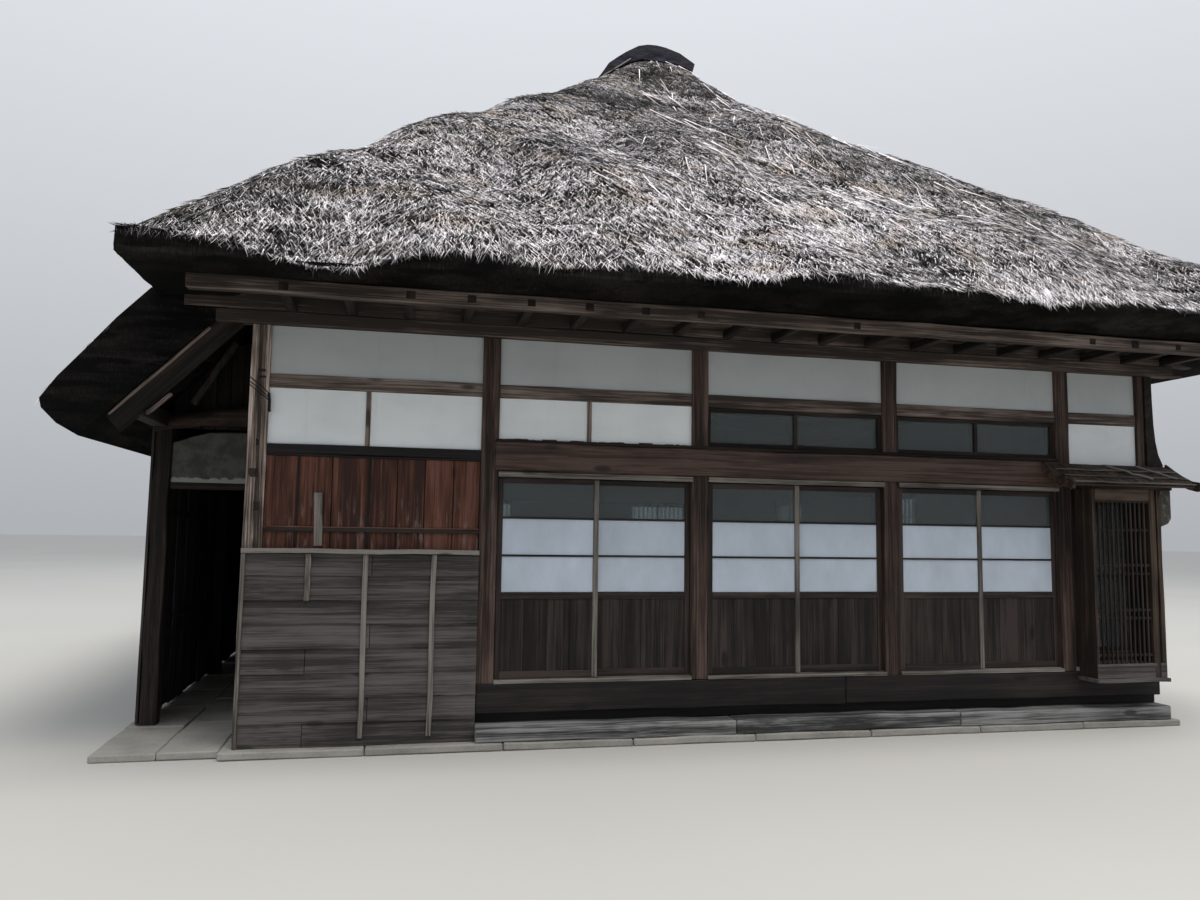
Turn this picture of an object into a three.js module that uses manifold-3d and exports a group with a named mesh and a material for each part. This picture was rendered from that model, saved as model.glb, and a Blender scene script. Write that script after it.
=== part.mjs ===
// A thatched timber farmhouse: a hipped thatch roof on a post and beam frame, with white plaster
// panels, board walls, sliding glazed doors along the front and a lean-to down the left side.
// Millimetres, +Z up. x runs along the front from the left corner post, y runs into the house from
// the face of the front posts, and z is the height above the ground.

import * as THREE from 'three';
import { mergeVertices } from 'three/addons/utils/BufferGeometryUtils.js';
import { ConvexGeometry } from 'three/addons/geometries/ConvexGeometry.js';
import Module from 'manifold-3d';

const wasm = await Module();
wasm.setup();

// The plan, in bays of one ken
const KEN = 1900;
const WIDTH = 4.5 * KEN;
const DEPTH = 6 * KEN;
const POST_X = [0, 1, 2, 3, 4, 4.5].map((bay) => bay * KEN);
const SIDE_POSTS = [1, 2, 3, 4, 5].map((bay) => bay * KEN);
const GAP = 0.5;

// Posts: their width along the wall, and their depth into it
const POST = 150;
const POST_DEEP = 105;
const HALF_POST = POST / 2;
const LEFT_FACE = -HALF_POST;
const RIGHT_FACE = WIDTH + HALF_POST;

// Heights above the ground
const FOOTING_TOP = 60;
const TIMBER_TOP = 190;
const SILL_BASE = 276;
const SILL_TOP = 520;
const FLOOR_TOP = 550;
const TRACK_TOP = 552;
const LEDGE_TOP = 1640;
const DOOR_TOP = 2270;
const LINTEL_BASE = 2320;
const LINTEL_TOP = 2600;
const BOARDS_TOP = 2450;
const BLACK_RAIL_TOP = 2497;
const MID_RAIL_BASE = 2960;
const MID_RAIL_TOP = 3075;
const PLATE_BASE = 3480;
const PLATE_TOP = 3590;
const BEAM_TOP = 3670;
const PURLIN_TOP = 3690;

// Depths into the front wall
const RAIL_FRONT = 15;
const RAIL_BACK = 75;
const LINTEL_FRONT = -30;
const PANEL_FRONT = 30;
const PANEL_BACK = 130;
const SILL_FRONT = -20;
const SILL_BACK = 220;
const TIMBER_FRONT = -130;
const UPSTAND_FRONT = 60;
const UPSTAND_BACK = 160;
const BOARD_BACKING = 2;
const BEAM_BACK = 215;

// The thatch: where its lip stands outside the frame, and the rise of its slope
const LIP_FRONT = 1200;
const LIP_SIDE = 800;
const PITCH = 0.86;
const LIP_TOP = 3800;
const BULGE = 200;
const BULGE_REACH = 550;
const SEAT_IN = 600;
const ROOF_LEFT = -LIP_SIDE;
const ROOF_RIGHT = WIDTH + LIP_SIDE;
const ROOF_FRONT = -LIP_FRONT;
const ROOF_BACK = DEPTH + LIP_FRONT;
const HALF_SPAN = (ROOF_RIGHT - ROOF_LEFT) / 2;
const RIDGE_X = (ROOF_LEFT + ROOF_RIGHT) / 2;
const RIDGE_FRONT = ROOF_FRONT + HALF_SPAN;
const RIDGE_BACK = ROOF_BACK - HALF_SPAN;

// The low part of the left slope that covers the lean-to
const APRON_TIP_X = -1620;
const APRON_TIP_Z = 2800;
const APRON_CUT = [130, 190];
const APRON_TUCK = 180;
const APRON_START = -30;
const APRON_END = DEPTH + 30;

// The origin stands under the middle of the whole house
const CENTRE_X = (APRON_TIP_X + ROOF_RIGHT) / 2;
const CENTRE_Y = (ROOF_FRONT + ROOF_BACK) / 2;

const house = new THREE.Group();
house.position.set(-CENTRE_X, -CENTRE_Y, 0);

const finishes = {
  darkWood: { color: 0x3a2a22, roughness: 0.8, metalness: 0 },
  brownWood: { color: 0x5a463a, roughness: 0.85, metalness: 0 },
  redWood: { color: 0x5a3024, roughness: 0.8, metalness: 0 },
  greyWood: { color: 0x6e6a64, roughness: 0.9, metalness: 0 },
  trackWood: { color: 0x8a8a86, roughness: 0.7, metalness: 0 },
  plaster: { color: 0xc8d0d4, roughness: 0.9, metalness: 0 },
  mudPlaster: { color: 0x77736b, roughness: 0.95, metalness: 0 },
  glass: { color: 0x8b94a3, roughness: 0.2, metalness: 0 },
  stone: { color: 0xa8a49a, roughness: 0.95, metalness: 0 },
  thatch: { color: 0x8b8078, roughness: 1, metalness: 0 },
  capBark: { color: 0x1d2028, roughness: 0.7, metalness: 0.1 },
};

// Solids

function solidOf(geometry) {
  geometry.deleteAttribute('normal');
  geometry.deleteAttribute('uv');
  const merged = mergeVertices(geometry, 0.01);
  return new wasm.Manifold(new wasm.Mesh({
    numProp: 3,
    vertProperties: new Float32Array(merged.attributes.position.array),
    triVerts: new Uint32Array(merged.index.array),
  }));
}

function box([x0, x1], [y0, y1], [z0, z1], grow = 0) {
  const geometry = new THREE.BoxGeometry(x1 - x0 + 2 * grow, y1 - y0 + 2 * grow, z1 - z0 + 2 * grow);
  geometry.translate((x0 + x1) / 2, (y0 + y1) / 2, (z0 + z1) / 2);
  return solidOf(geometry);
}

function join(solids) {
  return solids.reduce((sum, solid) => sum.add(solid));
}

function cut(solid, tools) {
  return tools.reduce((rest, tool) => rest.subtract(tool), solid);
}

// A profile drawn in x and z, drawn out along y
function alongY(points, [y0, y1]) {
  const shape = new THREE.Shape(points.map(([x, z]) => new THREE.Vector2(x, z)));
  const geometry = new THREE.ExtrudeGeometry(shape, { depth: y1 - y0, bevelEnabled: false });
  geometry.rotateX(Math.PI / 2);
  geometry.translate(0, y1, 0);
  return solidOf(geometry);
}

// A profile drawn in y and z, drawn out along x
function alongX(points, [x0, x1]) {
  const shape = new THREE.Shape(points.map(([y, z]) => new THREE.Vector2(y, z)));
  const geometry = new THREE.ExtrudeGeometry(shape, { depth: x1 - x0, bevelEnabled: false });
  geometry.rotateX(Math.PI / 2);
  geometry.rotateZ(Math.PI / 2);
  geometry.translate(x0, 0, 0);
  return solidOf(geometry);
}

function addPiece(name, finish, solid) {
  const mesh = solid.getMesh();
  const geometry = new THREE.BufferGeometry();
  geometry.setAttribute('position', new THREE.BufferAttribute(mesh.vertProperties, 3));
  geometry.setIndex(new THREE.BufferAttribute(mesh.triVerts, 1));
  const piece = new THREE.Mesh(geometry, new THREE.MeshStandardMaterial(finishes[finish]));
  piece.name = name;
  house.add(piece);
}

// Footings and floor

const FOOTING_FRONT = -150;
const FOOTING_OUT = 90;
const FOOTING_IN = 300;
const LEANTO_OUT = 1100;
const LEANTO_END_OUT = 60;

function addFootings() {
  const height = [0, FOOTING_TOP];
  const outLeft = LEFT_FACE - FOOTING_OUT;
  const outRight = RIGHT_FACE + FOOTING_OUT;
  const sideSpan = [FOOTING_IN + GAP, DEPTH - FOOTING_IN - GAP];
  addPiece('footing_front', 'stone', box([outLeft, outRight], [FOOTING_FRONT, FOOTING_IN], height));
  addPiece('footing_back', 'stone', box(
    [outLeft, outRight], [DEPTH - FOOTING_IN, DEPTH + FOOTING_OUT], height));
  addPiece('footing_right', 'stone', box([WIDTH - FOOTING_IN, outRight], sideSpan, height));
  addPiece('footing_left', 'stone', join([
    box([outLeft, FOOTING_IN], sideSpan, height),
    box([-LEANTO_OUT, outLeft - GAP], [-LEANTO_END_OUT, DEPTH + LEANTO_END_OUT], height),
    box([-LEANTO_OUT, 0], sideSpan, height),
  ]));
}

const FLOOR_FRONT = PANEL_BACK + 5;
const FLOOR_LAP = 70;

// The floor lies on the sills of three walls and is notched round their posts
function addFloor() {
  const left = [LEFT_FACE, LEFT_FACE + POST_DEEP];
  const right = [RIGHT_FACE - POST_DEEP, RIGHT_FACE];
  const back = [DEPTH - POST_DEEP, DEPTH];
  const height = [0, PLATE_BASE];
  const about = (place) => [place - HALF_POST, place + HALF_POST];
  const slab = box([LEFT_FACE + FLOOR_LAP, RIGHT_FACE - FLOOR_LAP], [FLOOR_FRONT, DEPTH - FLOOR_LAP],
    [SILL_TOP + GAP, FLOOR_TOP]);
  addPiece('floor_boards', 'brownWood', cut(slab, [
    ...SIDE_POSTS.map((y) => box(left, about(y), height, GAP)),
    ...SIDE_POSTS.map((y) => box(right, about(y), height, GAP)),
    ...POST_X.map((x) => box(about(x), back, height, GAP)),
  ]));
}

// The front frame

function postBox(x, grow = 0) {
  return box([x - HALF_POST, x + HALF_POST], [0, POST_DEEP], [SILL_TOP + GAP, PLATE_BASE - GAP], grow);
}

const frontPosts = (grow) => POST_X.map((x) => postBox(x, grow));

const RAIL_PAST = 20;

function midRail(grow = 0) {
  return box([-RAIL_PAST, WIDTH + RAIL_PAST], [RAIL_FRONT, RAIL_BACK], [MID_RAIL_BASE, MID_RAIL_TOP], grow);
}

const LINTEL_LAP = 40;
const lintelSpan = [POST_X[1] + LINTEL_LAP, POST_X[4] - LINTEL_LAP];

function lintel(grow = 0) {
  return box(lintelSpan, [LINTEL_FRONT, RAIL_BACK], [LINTEL_BASE, LINTEL_TOP], grow);
}

function addFrontFrame() {
  POST_X.forEach((x, i) => {
    const post = cut(postBox(x), [midRail(GAP), lintel(GAP)]);
    addPiece(`front_post_${i + 1}`, 'brownWood', post);
  });
  addPiece('front_mid_rail', 'brownWood', midRail());
  addPiece('door_lintel_beam', 'redWood', lintel());

  const whole = [LEFT_FACE, RIGHT_FACE];
  const pastBoards = [POST_X[1] - HALF_POST, RIGHT_FACE];
  addPiece('front_foundation_timber', 'greyWood', join([
    box(whole, [BOARD_BACKING, UPSTAND_BACK], [FOOTING_TOP + GAP, TIMBER_TOP]),
    box(pastBoards, [TIMBER_FRONT, BOARD_BACKING + 1], [FOOTING_TOP + GAP, TIMBER_TOP]),
    box(whole, [UPSTAND_FRONT, UPSTAND_BACK], [TIMBER_TOP - 1, SILL_BASE - GAP]),
  ]));
  addPiece('front_sill_beam', 'darkWood', join([
    box(whole, [BOARD_BACKING, SILL_BACK], [SILL_BASE, SILL_TOP]),
    box(pastBoards, [SILL_FRONT, BOARD_BACKING + 1], [SILL_BASE, SILL_TOP]),
  ]));
}

// Square arms carry the outer purlin, half a bay of rafters apart
const ARM = 80;
const ARM_STEP = KEN / 4;
const ARM_LAP = 10;
const ARM_HEIGHT = [BEAM_TOP - ARM, BEAM_TOP - 5];
const PURLIN_WIDE = 110;
const PURLIN_START = -450;
const PURLIN_END = WIDTH + 370;
const PURLIN_BACK = ROOF_FRONT + SEAT_IN;
const PURLIN_HEIGHT = [PURLIN_TOP - PURLIN_WIDE, PURLIN_TOP - GAP];
const PLATE_PAST = 360;
const PLATE_FRONT = -40;
const BEAM_PAST = 610;
const BEAM_FRONT = 75;
const BEAM_BASE = 3520;
const UPPER_BEAM_TOP = 3750;

function headPlate(grow = 0) {
  return join([
    box([-PLATE_PAST, WIDTH + PLATE_PAST], [PLATE_FRONT, BEAM_FRONT + 1], [PLATE_BASE, PLATE_TOP], grow),
    box([-BEAM_PAST, WIDTH + BEAM_PAST], [BEAM_FRONT, BEAM_BACK], [BEAM_BASE, BEAM_TOP], grow),
    box([-BEAM_PAST, WIDTH + BEAM_PAST], [PLATE_FRONT, BEAM_BACK], [PLATE_TOP - 1, UPPER_BEAM_TOP], grow),
  ]);
}

function eaveArms(inner) {
  const span = [PURLIN_START, PURLIN_END];
  const parts = [box(span, [PURLIN_BACK - PURLIN_WIDE, PURLIN_BACK], PURLIN_HEIGHT)];
  for (let x = ARM_STEP / 2; x < WIDTH + ARM_STEP; x += ARM_STEP) {
    parts.push(box([x - ARM / 2, x + ARM / 2], [PURLIN_BACK - ARM_LAP, inner], ARM_HEIGHT));
  }
  return join(parts);
}

function addEaveFrames() {
  addPiece('front_eave_frame', 'darkWood', join([headPlate(), eaveArms(BEAM_FRONT + ARM_LAP)]));
  const back = eaveArms(-GAP).mirror([0, 1, 0]).translate([0, DEPTH, 0]);
  addPiece('back_eave_frame', 'darkWood', back);
}

// The front panels

const PANEL_INSET = 45;

function addFrontPanels() {
  const face = [PANEL_FRONT, PANEL_BACK];
  const whole = [LEFT_FACE + PANEL_INSET, RIGHT_FACE - PANEL_INSET];
  const posts = frontPosts(GAP);
  addPiece('front_plaster_upper', 'plaster', cut(
    box(whole, face, [MID_RAIL_TOP + GAP, PLATE_BASE - GAP]), posts));

  const besideDoors = box([whole[0], POST_X[2]], face, [BLACK_RAIL_TOP + GAP, MID_RAIL_BASE - GAP]);
  const behindLintel = box([POST_X[1], POST_X[2] + POST], [0, SILL_BACK], [LINTEL_BASE, LINTEL_TOP + GAP]);
  addPiece('front_plaster_lower', 'plaster', cut(besideDoors, [...posts, behindLintel]));

  const corner = box([POST_X[4], whole[1]], face, [SILL_TOP + GAP, MID_RAIL_BASE - GAP]);
  addPiece('front_plaster_corner', 'plaster', cut(corner, [...posts, lintel(GAP), cornerWindow()]));

  const boarded = [POST_X[0] + HALF_POST + GAP, POST_X[1] - HALF_POST - GAP];
  addPiece('front_wainscot_boards', 'redWood', join([
    box(boarded, face, [SILL_TOP + GAP, BOARDS_TOP + 1]),
    box(boarded, [RAIL_FRONT, RAIL_BACK], [BOARDS_TOP, BLACK_RAIL_TOP]),
  ]));
}

// Lapped boards stand in front of the posts, under a ledge
const BOARD_COUNT = 9;
const BOARD_BUTT = -50;
const BOARD_TAIL = -32;
const LEDGE_THICK = 40;
const LEDGE_FRONT = -85;

function addClapboards() {
  const span = [-190, POST_X[1] - HALF_POST - GAP];
  const base = FOOTING_TOP + GAP;
  const top = LEDGE_TOP - LEDGE_THICK;
  const rise = (top - base) / BOARD_COUNT;
  const points = [[-GAP, base]];
  for (let i = 0; i < BOARD_COUNT; i += 1) {
    points.push([BOARD_BUTT, base + i * rise], [BOARD_TAIL, base + (i + 1) * rise]);
  }
  points.push([-GAP, top]);
  addPiece('front_clapboards', 'greyWood', join([
    alongX(points, span),
    box(span, [LEDGE_FRONT, -GAP], [top - 1, LEDGE_TOP]),
  ]));
}

// Transom windows over the doors

const TRANSOM_BAR = 38;
const TRANSOM_FRONT = 38;
const TRANSOM_REBATE = 10;
const TRANSOM_GLASS = [62, 68];

function addTransoms() {
  const height = [LINTEL_TOP + GAP, MID_RAIL_BASE - GAP];
  const clearHeight = [height[0] + TRANSOM_BAR, height[1] - TRANSOM_BAR];
  const glassHeight = [height[0] + TRANSOM_REBATE, height[1] - TRANSOM_REBATE];
  const through = [0, SILL_BACK];
  const openings = [];
  for (const bay of [2, 3]) {
    const left = POST_X[bay] + HALF_POST + GAP;
    const right = POST_X[bay + 1] - HALF_POST - GAP;
    const middle = (left + right) / 2;
    const glassSpan = [left + TRANSOM_REBATE, right - TRANSOM_REBATE];
    openings.push(box([left + TRANSOM_BAR, middle - TRANSOM_BAR / 2], through, clearHeight));
    openings.push(box([middle + TRANSOM_BAR / 2, right - TRANSOM_BAR], through, clearHeight));
    openings.push(box(glassSpan, TRANSOM_GLASS, glassHeight, GAP));
    addPiece(`transom_glass_${bay - 1}`, 'glass', box(glassSpan, TRANSOM_GLASS, glassHeight));
  }
  const span = [POST_X[2] + HALF_POST + GAP, POST_X[4] - HALF_POST - GAP];
  const frame = box(span, [TRANSOM_FRONT, PANEL_BACK], height);
  addPiece('transom_frame', 'darkWood', cut(frame, [postBox(POST_X[3], GAP), ...openings]));
}

// The sliding doors, two leaves to a bay on two tracks

const LEAF_WIDTH = 890;
const LEAF_DEEP = 30;
const LEAF_SIDE_GAP = 5;
const OUTER_TRACK = 12;
const INNER_TRACK = 50;
const LEAF_BASE = TRACK_TOP + 6.5;
const LEAF_TOP = DOOR_TOP - 5;
const STILE = 45;
const RAIL = 60;
const PANEL_RECESS = 9;
const TRACK_BACK = 100;
const TRACK_RIB = 6;
const MUNTIN = 18;
const GLASS_BASE = 1285;
const MUNTIN_Z = [1597, 1921];
const PANE_Y = 13;
const PANE_THICK = 5;

function addDoorLeaf(number, left, front) {
  const right = left + LEAF_WIDTH;
  const back = front + LEAF_DEEP;
  const opening = [left + STILE, right - STILE];
  const boarded = [LEAF_BASE + RAIL, GLASS_BASE - RAIL];
  const outer = box([left, right], [front, back], [LEAF_BASE, LEAF_TOP]);
  const recesses = [
    box(opening, [front - 1, back + 1], [GLASS_BASE, LEAF_TOP - STILE]),
    box(opening, [front - 1, front + PANEL_RECESS], boarded),
    box(opening, [back - PANEL_RECESS, back + 1], boarded),
  ];
  const bars = MUNTIN_Z.map((z) => box([opening[0] - 1, opening[1] + 1], [front + 1, front + PANE_Y - GAP],
    [z - MUNTIN / 2, z + MUNTIN / 2]));
  addPiece(`door_leaf_${number}`, 'darkWood', join([cut(outer, recesses), ...bars]));
  addPiece(`door_glass_${number}`, 'glass', box(
    [opening[0] + GAP, opening[1] - GAP],
    [front + PANE_Y, front + PANE_Y + PANE_THICK],
    [GLASS_BASE + GAP, LEAF_TOP - STILE - GAP]));
}

function addDoors() {
  for (const bay of [1, 2, 3]) {
    const left = POST_X[bay] + HALF_POST + LEAF_SIDE_GAP;
    const right = POST_X[bay + 1] - HALF_POST - LEAF_SIDE_GAP - LEAF_WIDTH;
    addDoorLeaf(2 * bay - 1, left, OUTER_TRACK);
    addDoorLeaf(2 * bay, right, INNER_TRACK);
  }
}

function addDoorTrack() {
  const posts = frontPosts(GAP);
  const span = [POST_X[1] + HALF_POST + GAP, POST_X[4] - HALF_POST - GAP];
  const base = box(span, [SILL_FRONT, TRACK_BACK], [SILL_TOP + GAP, TRACK_TOP]);
  const ribs = [OUTER_TRACK, INNER_TRACK].map((track) => {
    const front = track + (LEAF_DEEP - TRACK_RIB) / 2;
    return box(span, [front, front + TRACK_RIB], [TRACK_TOP - 1, LEAF_BASE - GAP]);
  });
  addPiece('door_track', 'trackWood', cut(join([base, ...ribs]), posts));
  addPiece('door_head_strip', 'trackWood', cut(
    box(span, [LINTEL_FRONT + 5, TRACK_BACK], [DOOR_TOP, LINTEL_BASE - GAP]), posts));
}

// The lattice bay and its pent roof, in the half bay at the right corner

const BAY_LEFT = POST_X[4] + 90;
const BAY_RIGHT = RIGHT_FACE + 5;
const BAY_FRONT = -260;
const BAY_BASE = 450;
const BAY_TOP = 2300;
const BAY_BOARD = 30;
const BAY_HEAD = 110;
const LATTICE_BARS = 11;
const LATTICE_BAR = 18;
const LATTICE_RAIL = 24;
const LATTICE_RAIL_Z = [700, 1050, 1130, 1480, 1560, 1900];
const LATTICE_BAR_Y = [BAY_FRONT + 8, BAY_FRONT + 26];
const LATTICE_RAIL_Y = [BAY_FRONT + 20, BAY_FRONT + 40];
const CORNER_WINDOW_X = [POST_X[4] + HALF_POST + 60, POST_X[5] - HALF_POST - 60];
const CORNER_WINDOW_Z = [700, 2200];
const CORNER_WINDOW_GLASS = [60, 66];

function cornerWindow() {
  return box(CORNER_WINDOW_X, [0, SILL_BACK], CORNER_WINDOW_Z);
}

function addLatticeBay() {
  const inside = [BAY_LEFT + BAY_BOARD, BAY_RIGHT - BAY_BOARD];
  const insideZ = [BAY_BASE + BAY_BOARD, BAY_TOP - BAY_HEAD];
  const shell = box([BAY_LEFT, BAY_RIGHT], [BAY_FRONT, SILL_FRONT - GAP], [BAY_BASE, BAY_TOP]);
  const hollow = box(inside, [BAY_FRONT - 1, 0], insideZ);
  const step = (inside[1] - inside[0]) / (LATTICE_BARS + 1);
  const barZ = [insideZ[0] - 10, insideZ[1] + 10];
  const bars = [];
  for (let i = 1; i <= LATTICE_BARS; i += 1) {
    const x = inside[0] + i * step;
    bars.push(box([x - LATTICE_BAR / 2, x + LATTICE_BAR / 2], LATTICE_BAR_Y, barZ));
  }
  const rails = LATTICE_RAIL_Z.map((z) => box(
    [inside[0] - 10, inside[1] + 10], LATTICE_RAIL_Y, [z - LATTICE_RAIL / 2, z + LATTICE_RAIL / 2]));
  addPiece('lattice_bay', 'darkWood', join([cut(shell, [hollow]), ...rails, ...bars]));
  addPiece('corner_window_glass', 'glass', box(CORNER_WINDOW_X, CORNER_WINDOW_GLASS, CORNER_WINDOW_Z, -GAP));
}

const PENT_LEFT = 7360;
const PENT_RIGHT = 8760;
const PENT_BACK = LINTEL_FRONT - 1;
const PENT_WALL_Z = 2560;
const PENT_EAVE_Z = 2350;
const PENT_FRONT = -400;
const PENT_THICK = 40;
const BARGE_THICK = 31;
const BARGE_PAST = 40;

// The curved boards that close the ends of the pent roof
function bargeOutline() {
  const barge = new THREE.Shape();
  const front = PENT_FRONT - BARGE_PAST;
  barge.moveTo(PENT_BACK, PENT_WALL_Z + 15);
  barge.quadraticCurveTo(-230, PENT_EAVE_Z + 60, front, PENT_EAVE_Z + 5);
  barge.lineTo(front, PENT_EAVE_Z - 75);
  barge.quadraticCurveTo(-240, PENT_EAVE_Z - 40, PENT_BACK, PENT_WALL_Z - 90);
  return barge.getPoints(5).map((point) => [point.x, point.y]);
}

function addPentRoof() {
  const slab = alongX([
    [PENT_BACK, PENT_WALL_Z - PENT_THICK],
    [PENT_BACK, PENT_WALL_Z],
    [PENT_FRONT, PENT_EAVE_Z],
    [PENT_FRONT, PENT_EAVE_Z - PENT_THICK],
  ], [PENT_LEFT, PENT_RIGHT]);
  const overBay = box([BAY_LEFT + 10, RIGHT_FACE], [BAY_FRONT + 10, PENT_BACK],
    [BAY_TOP + GAP, BAY_TOP + 60]);
  const toWall = box([POST_X[4] + HALF_POST + 5, RIGHT_FACE - 5], [PENT_BACK - 10, -GAP],
    [BAY_TOP + GAP, PENT_WALL_Z - 20]);
  const outline = bargeOutline();
  const boards = [PENT_LEFT - BARGE_THICK + 1, PENT_RIGHT].map((x) => alongX(outline, [x, x + BARGE_THICK]));
  addPiece('pent_roof', 'brownWood', join([slab, overBay, toWall, ...boards]));
}

// The other three walls: a fused frame, and one sheet of plaster and boards behind its posts.
// Each is built as if it were a front wall of the given length, and is then turned to its place.

const WINDOW_HALF = 600;
const WINDOW_Z = [1500, 2400];
const PANE_LAP = 40;
const PANE_SHEET = [PANEL_BACK, PANEL_BACK + 6];
const BLACK_RAIL_Z = [BOARDS_TOP, BLACK_RAIL_TOP];
const MID_RAIL_Z = [MID_RAIL_BASE, MID_RAIL_TOP];

function wallFrame(posts, beamSpan, railSpan) {
  const postSpan = (s) => [s - HALF_POST, s + HALF_POST];
  return [
    box(beamSpan, [0, PANEL_BACK], [FOOTING_TOP + GAP, SILL_TOP]),
    box(railSpan, [RAIL_FRONT, RAIL_BACK], MID_RAIL_Z),
    box(railSpan, [RAIL_FRONT, RAIL_BACK], BLACK_RAIL_Z),
    box(beamSpan, [0, PANEL_BACK], [PLATE_BASE, BEAM_TOP]),
    ...posts.map((s) => box(postSpan(s), [0, POST_DEEP], [FOOTING_TOP + GAP, PLATE_BASE + 1])),
  ];
}

function wallSheet(posts, [start, end], windows) {
  const whole = [start - 1, end + 1];
  const span = (s) => [s - HALF_POST, s + HALF_POST];
  return cut(box([start, end], [PANEL_FRONT, PANEL_BACK], [FLOOR_TOP, PLATE_BASE], -GAP), [
    ...posts.map((s) => box(span(s), [0, POST_DEEP], [0, PLATE_TOP], GAP)),
    ...windows.map((s) => box([s - WINDOW_HALF, s + WINDOW_HALF], [0, SILL_BACK], WINDOW_Z)),
    box(whole, [0, RAIL_BACK], MID_RAIL_Z, GAP),
    box(whole, [0, RAIL_BACK], BLACK_RAIL_Z, GAP),
  ]);
}

// One sheet of glass behind both windows of a wall
function wallPanes(windows) {
  const reach = WINDOW_HALF + PANE_LAP;
  return box([Math.min(...windows) - reach, Math.max(...windows) + reach], PANE_SHEET,
    [WINDOW_Z[0] - PANE_LAP, WINDOW_Z[1] + PANE_LAP]);
}

// Side beams stop at the front sill and side panels run on to the front panels
const SIDE_ENDS = [SILL_BACK + GAP, DEPTH - PANEL_BACK - GAP];
const SIDE_PANEL_ENDS = [PANEL_BACK + GAP, DEPTH - PANEL_BACK - GAP];
const RIGHT_PURLIN_OUT = LIP_SIDE - HALF_POST - SEAT_IN;

// The purlin under the right lip, with its arms
function rightEave() {
  const span = [SIDE_ENDS[0] + ARM_LAP, SIDE_ENDS[1] - ARM_LAP];
  const parts = [box(span, [-RIGHT_PURLIN_OUT - PURLIN_WIDE, -RIGHT_PURLIN_OUT], PURLIN_HEIGHT)];
  for (let s = span[0] + ARM; s < span[1]; s += 2 * ARM_STEP) {
    parts.push(box([s, s + ARM], [-RIGHT_PURLIN_OUT - ARM_LAP, ARM_LAP], [BEAM_TOP - ARM, BEAM_TOP]));
  }
  return parts;
}

function addRightWall() {
  const windows = [2.5 * KEN, 4.5 * KEN];
  const turn = (solid) => solid.rotate([0, 0, 90]).translate([RIGHT_FACE, 0, 0]);
  addPiece('right_frame', 'brownWood', turn(join([
    ...wallFrame(SIDE_POSTS, SIDE_ENDS, SIDE_PANEL_ENDS), ...rightEave()])));
  addPiece('right_wall_panels', 'plaster', turn(wallSheet(SIDE_POSTS, SIDE_PANEL_ENDS, windows)));
  addPiece('right_window_glass', 'glass', turn(wallPanes(windows)));
}

function addLeftWall() {
  const posts = SIDE_POSTS.map((s) => s - DEPTH);
  const beamSpan = [-SIDE_ENDS[1], -SIDE_ENDS[0]];
  const panelSpan = [-SIDE_PANEL_ENDS[1], -SIDE_PANEL_ENDS[0]];
  const turn = (solid) => solid.rotate([0, 0, -90]).translate([LEFT_FACE, 0, 0]);
  addPiece('left_frame', 'brownWood', turn(join(wallFrame(posts, beamSpan, panelSpan))));
  addPiece('left_wall_panels', 'plaster', turn(wallSheet(posts, panelSpan, [])));
}

function addBackWall() {
  const posts = POST_X.map((x) => -x);
  const span = [-RIGHT_FACE, -LEFT_FACE];
  const windows = [-1.5 * KEN, -3.5 * KEN];
  const turn = (solid) => solid.rotate([0, 0, 180]).translate([0, DEPTH, 0]);
  addPiece('back_frame', 'brownWood', turn(join(wallFrame(posts, span, span))));
  addPiece('back_wall_panels', 'plaster', turn(wallSheet(posts, span, windows)));
  addPiece('back_window_glass', 'glass', turn(wallPanes(windows)));
}

// The lean-to: its posts, the broad rake timbers that carry the low thatch, and its board wall

const LEANTO_X = -938;
const LEANTO_POST = 140;
const LEANTO_OUTER = LEANTO_X - LEANTO_POST / 2;
const LEANTO_INNER = LEANTO_X + LEANTO_POST / 2;
const LEANTO_START = 0.5 * KEN;
const BOARD_THICK = 30;
const RAKE_TOP_X = -370;
const RAKE_TOP_Z = 3490;
const RAKE_SLOPE = 1.04;
const RAKE_FOOT_X = -1150;
const RAKE_FOOT_CUT = 110;
const RAKE_DEEP = 165;
const RAKE_WIDE = 100;
const LEANTO_LAST = DEPTH - RAKE_WIDE - LEANTO_POST - BOARD_THICK - 2;
const LEANTO_POSTS = [LEANTO_START, 2 * KEN, 3.5 * KEN, 5 * KEN, LEANTO_LAST];

function underApron(x) {
  return RAKE_TOP_Z + RAKE_SLOPE * (x - RAKE_TOP_X);
}

function rakeTimber([y0, y1], grow = 0) {
  const drop = RAKE_DEEP * Math.hypot(1, RAKE_SLOPE) + 2 * grow;
  const footX = RAKE_FOOT_X + RAKE_FOOT_CUT;
  return alongY([
    [RAKE_FOOT_X, underApron(RAKE_FOOT_X) - GAP],
    [footX, underApron(footX) - drop],
    [RAKE_TOP_X + drop / RAKE_SLOPE, RAKE_TOP_Z - GAP],
    [RAKE_TOP_X, RAKE_TOP_Z - GAP],
  ], [y0, y1]);
}

function leantoPlate(grow = 0) {
  const top = underApron(LEANTO_OUTER) - 10 * GAP;
  return box([LEANTO_OUTER, LEANTO_INNER], [0, DEPTH], [top - LEANTO_POST, top], grow);
}

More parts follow.
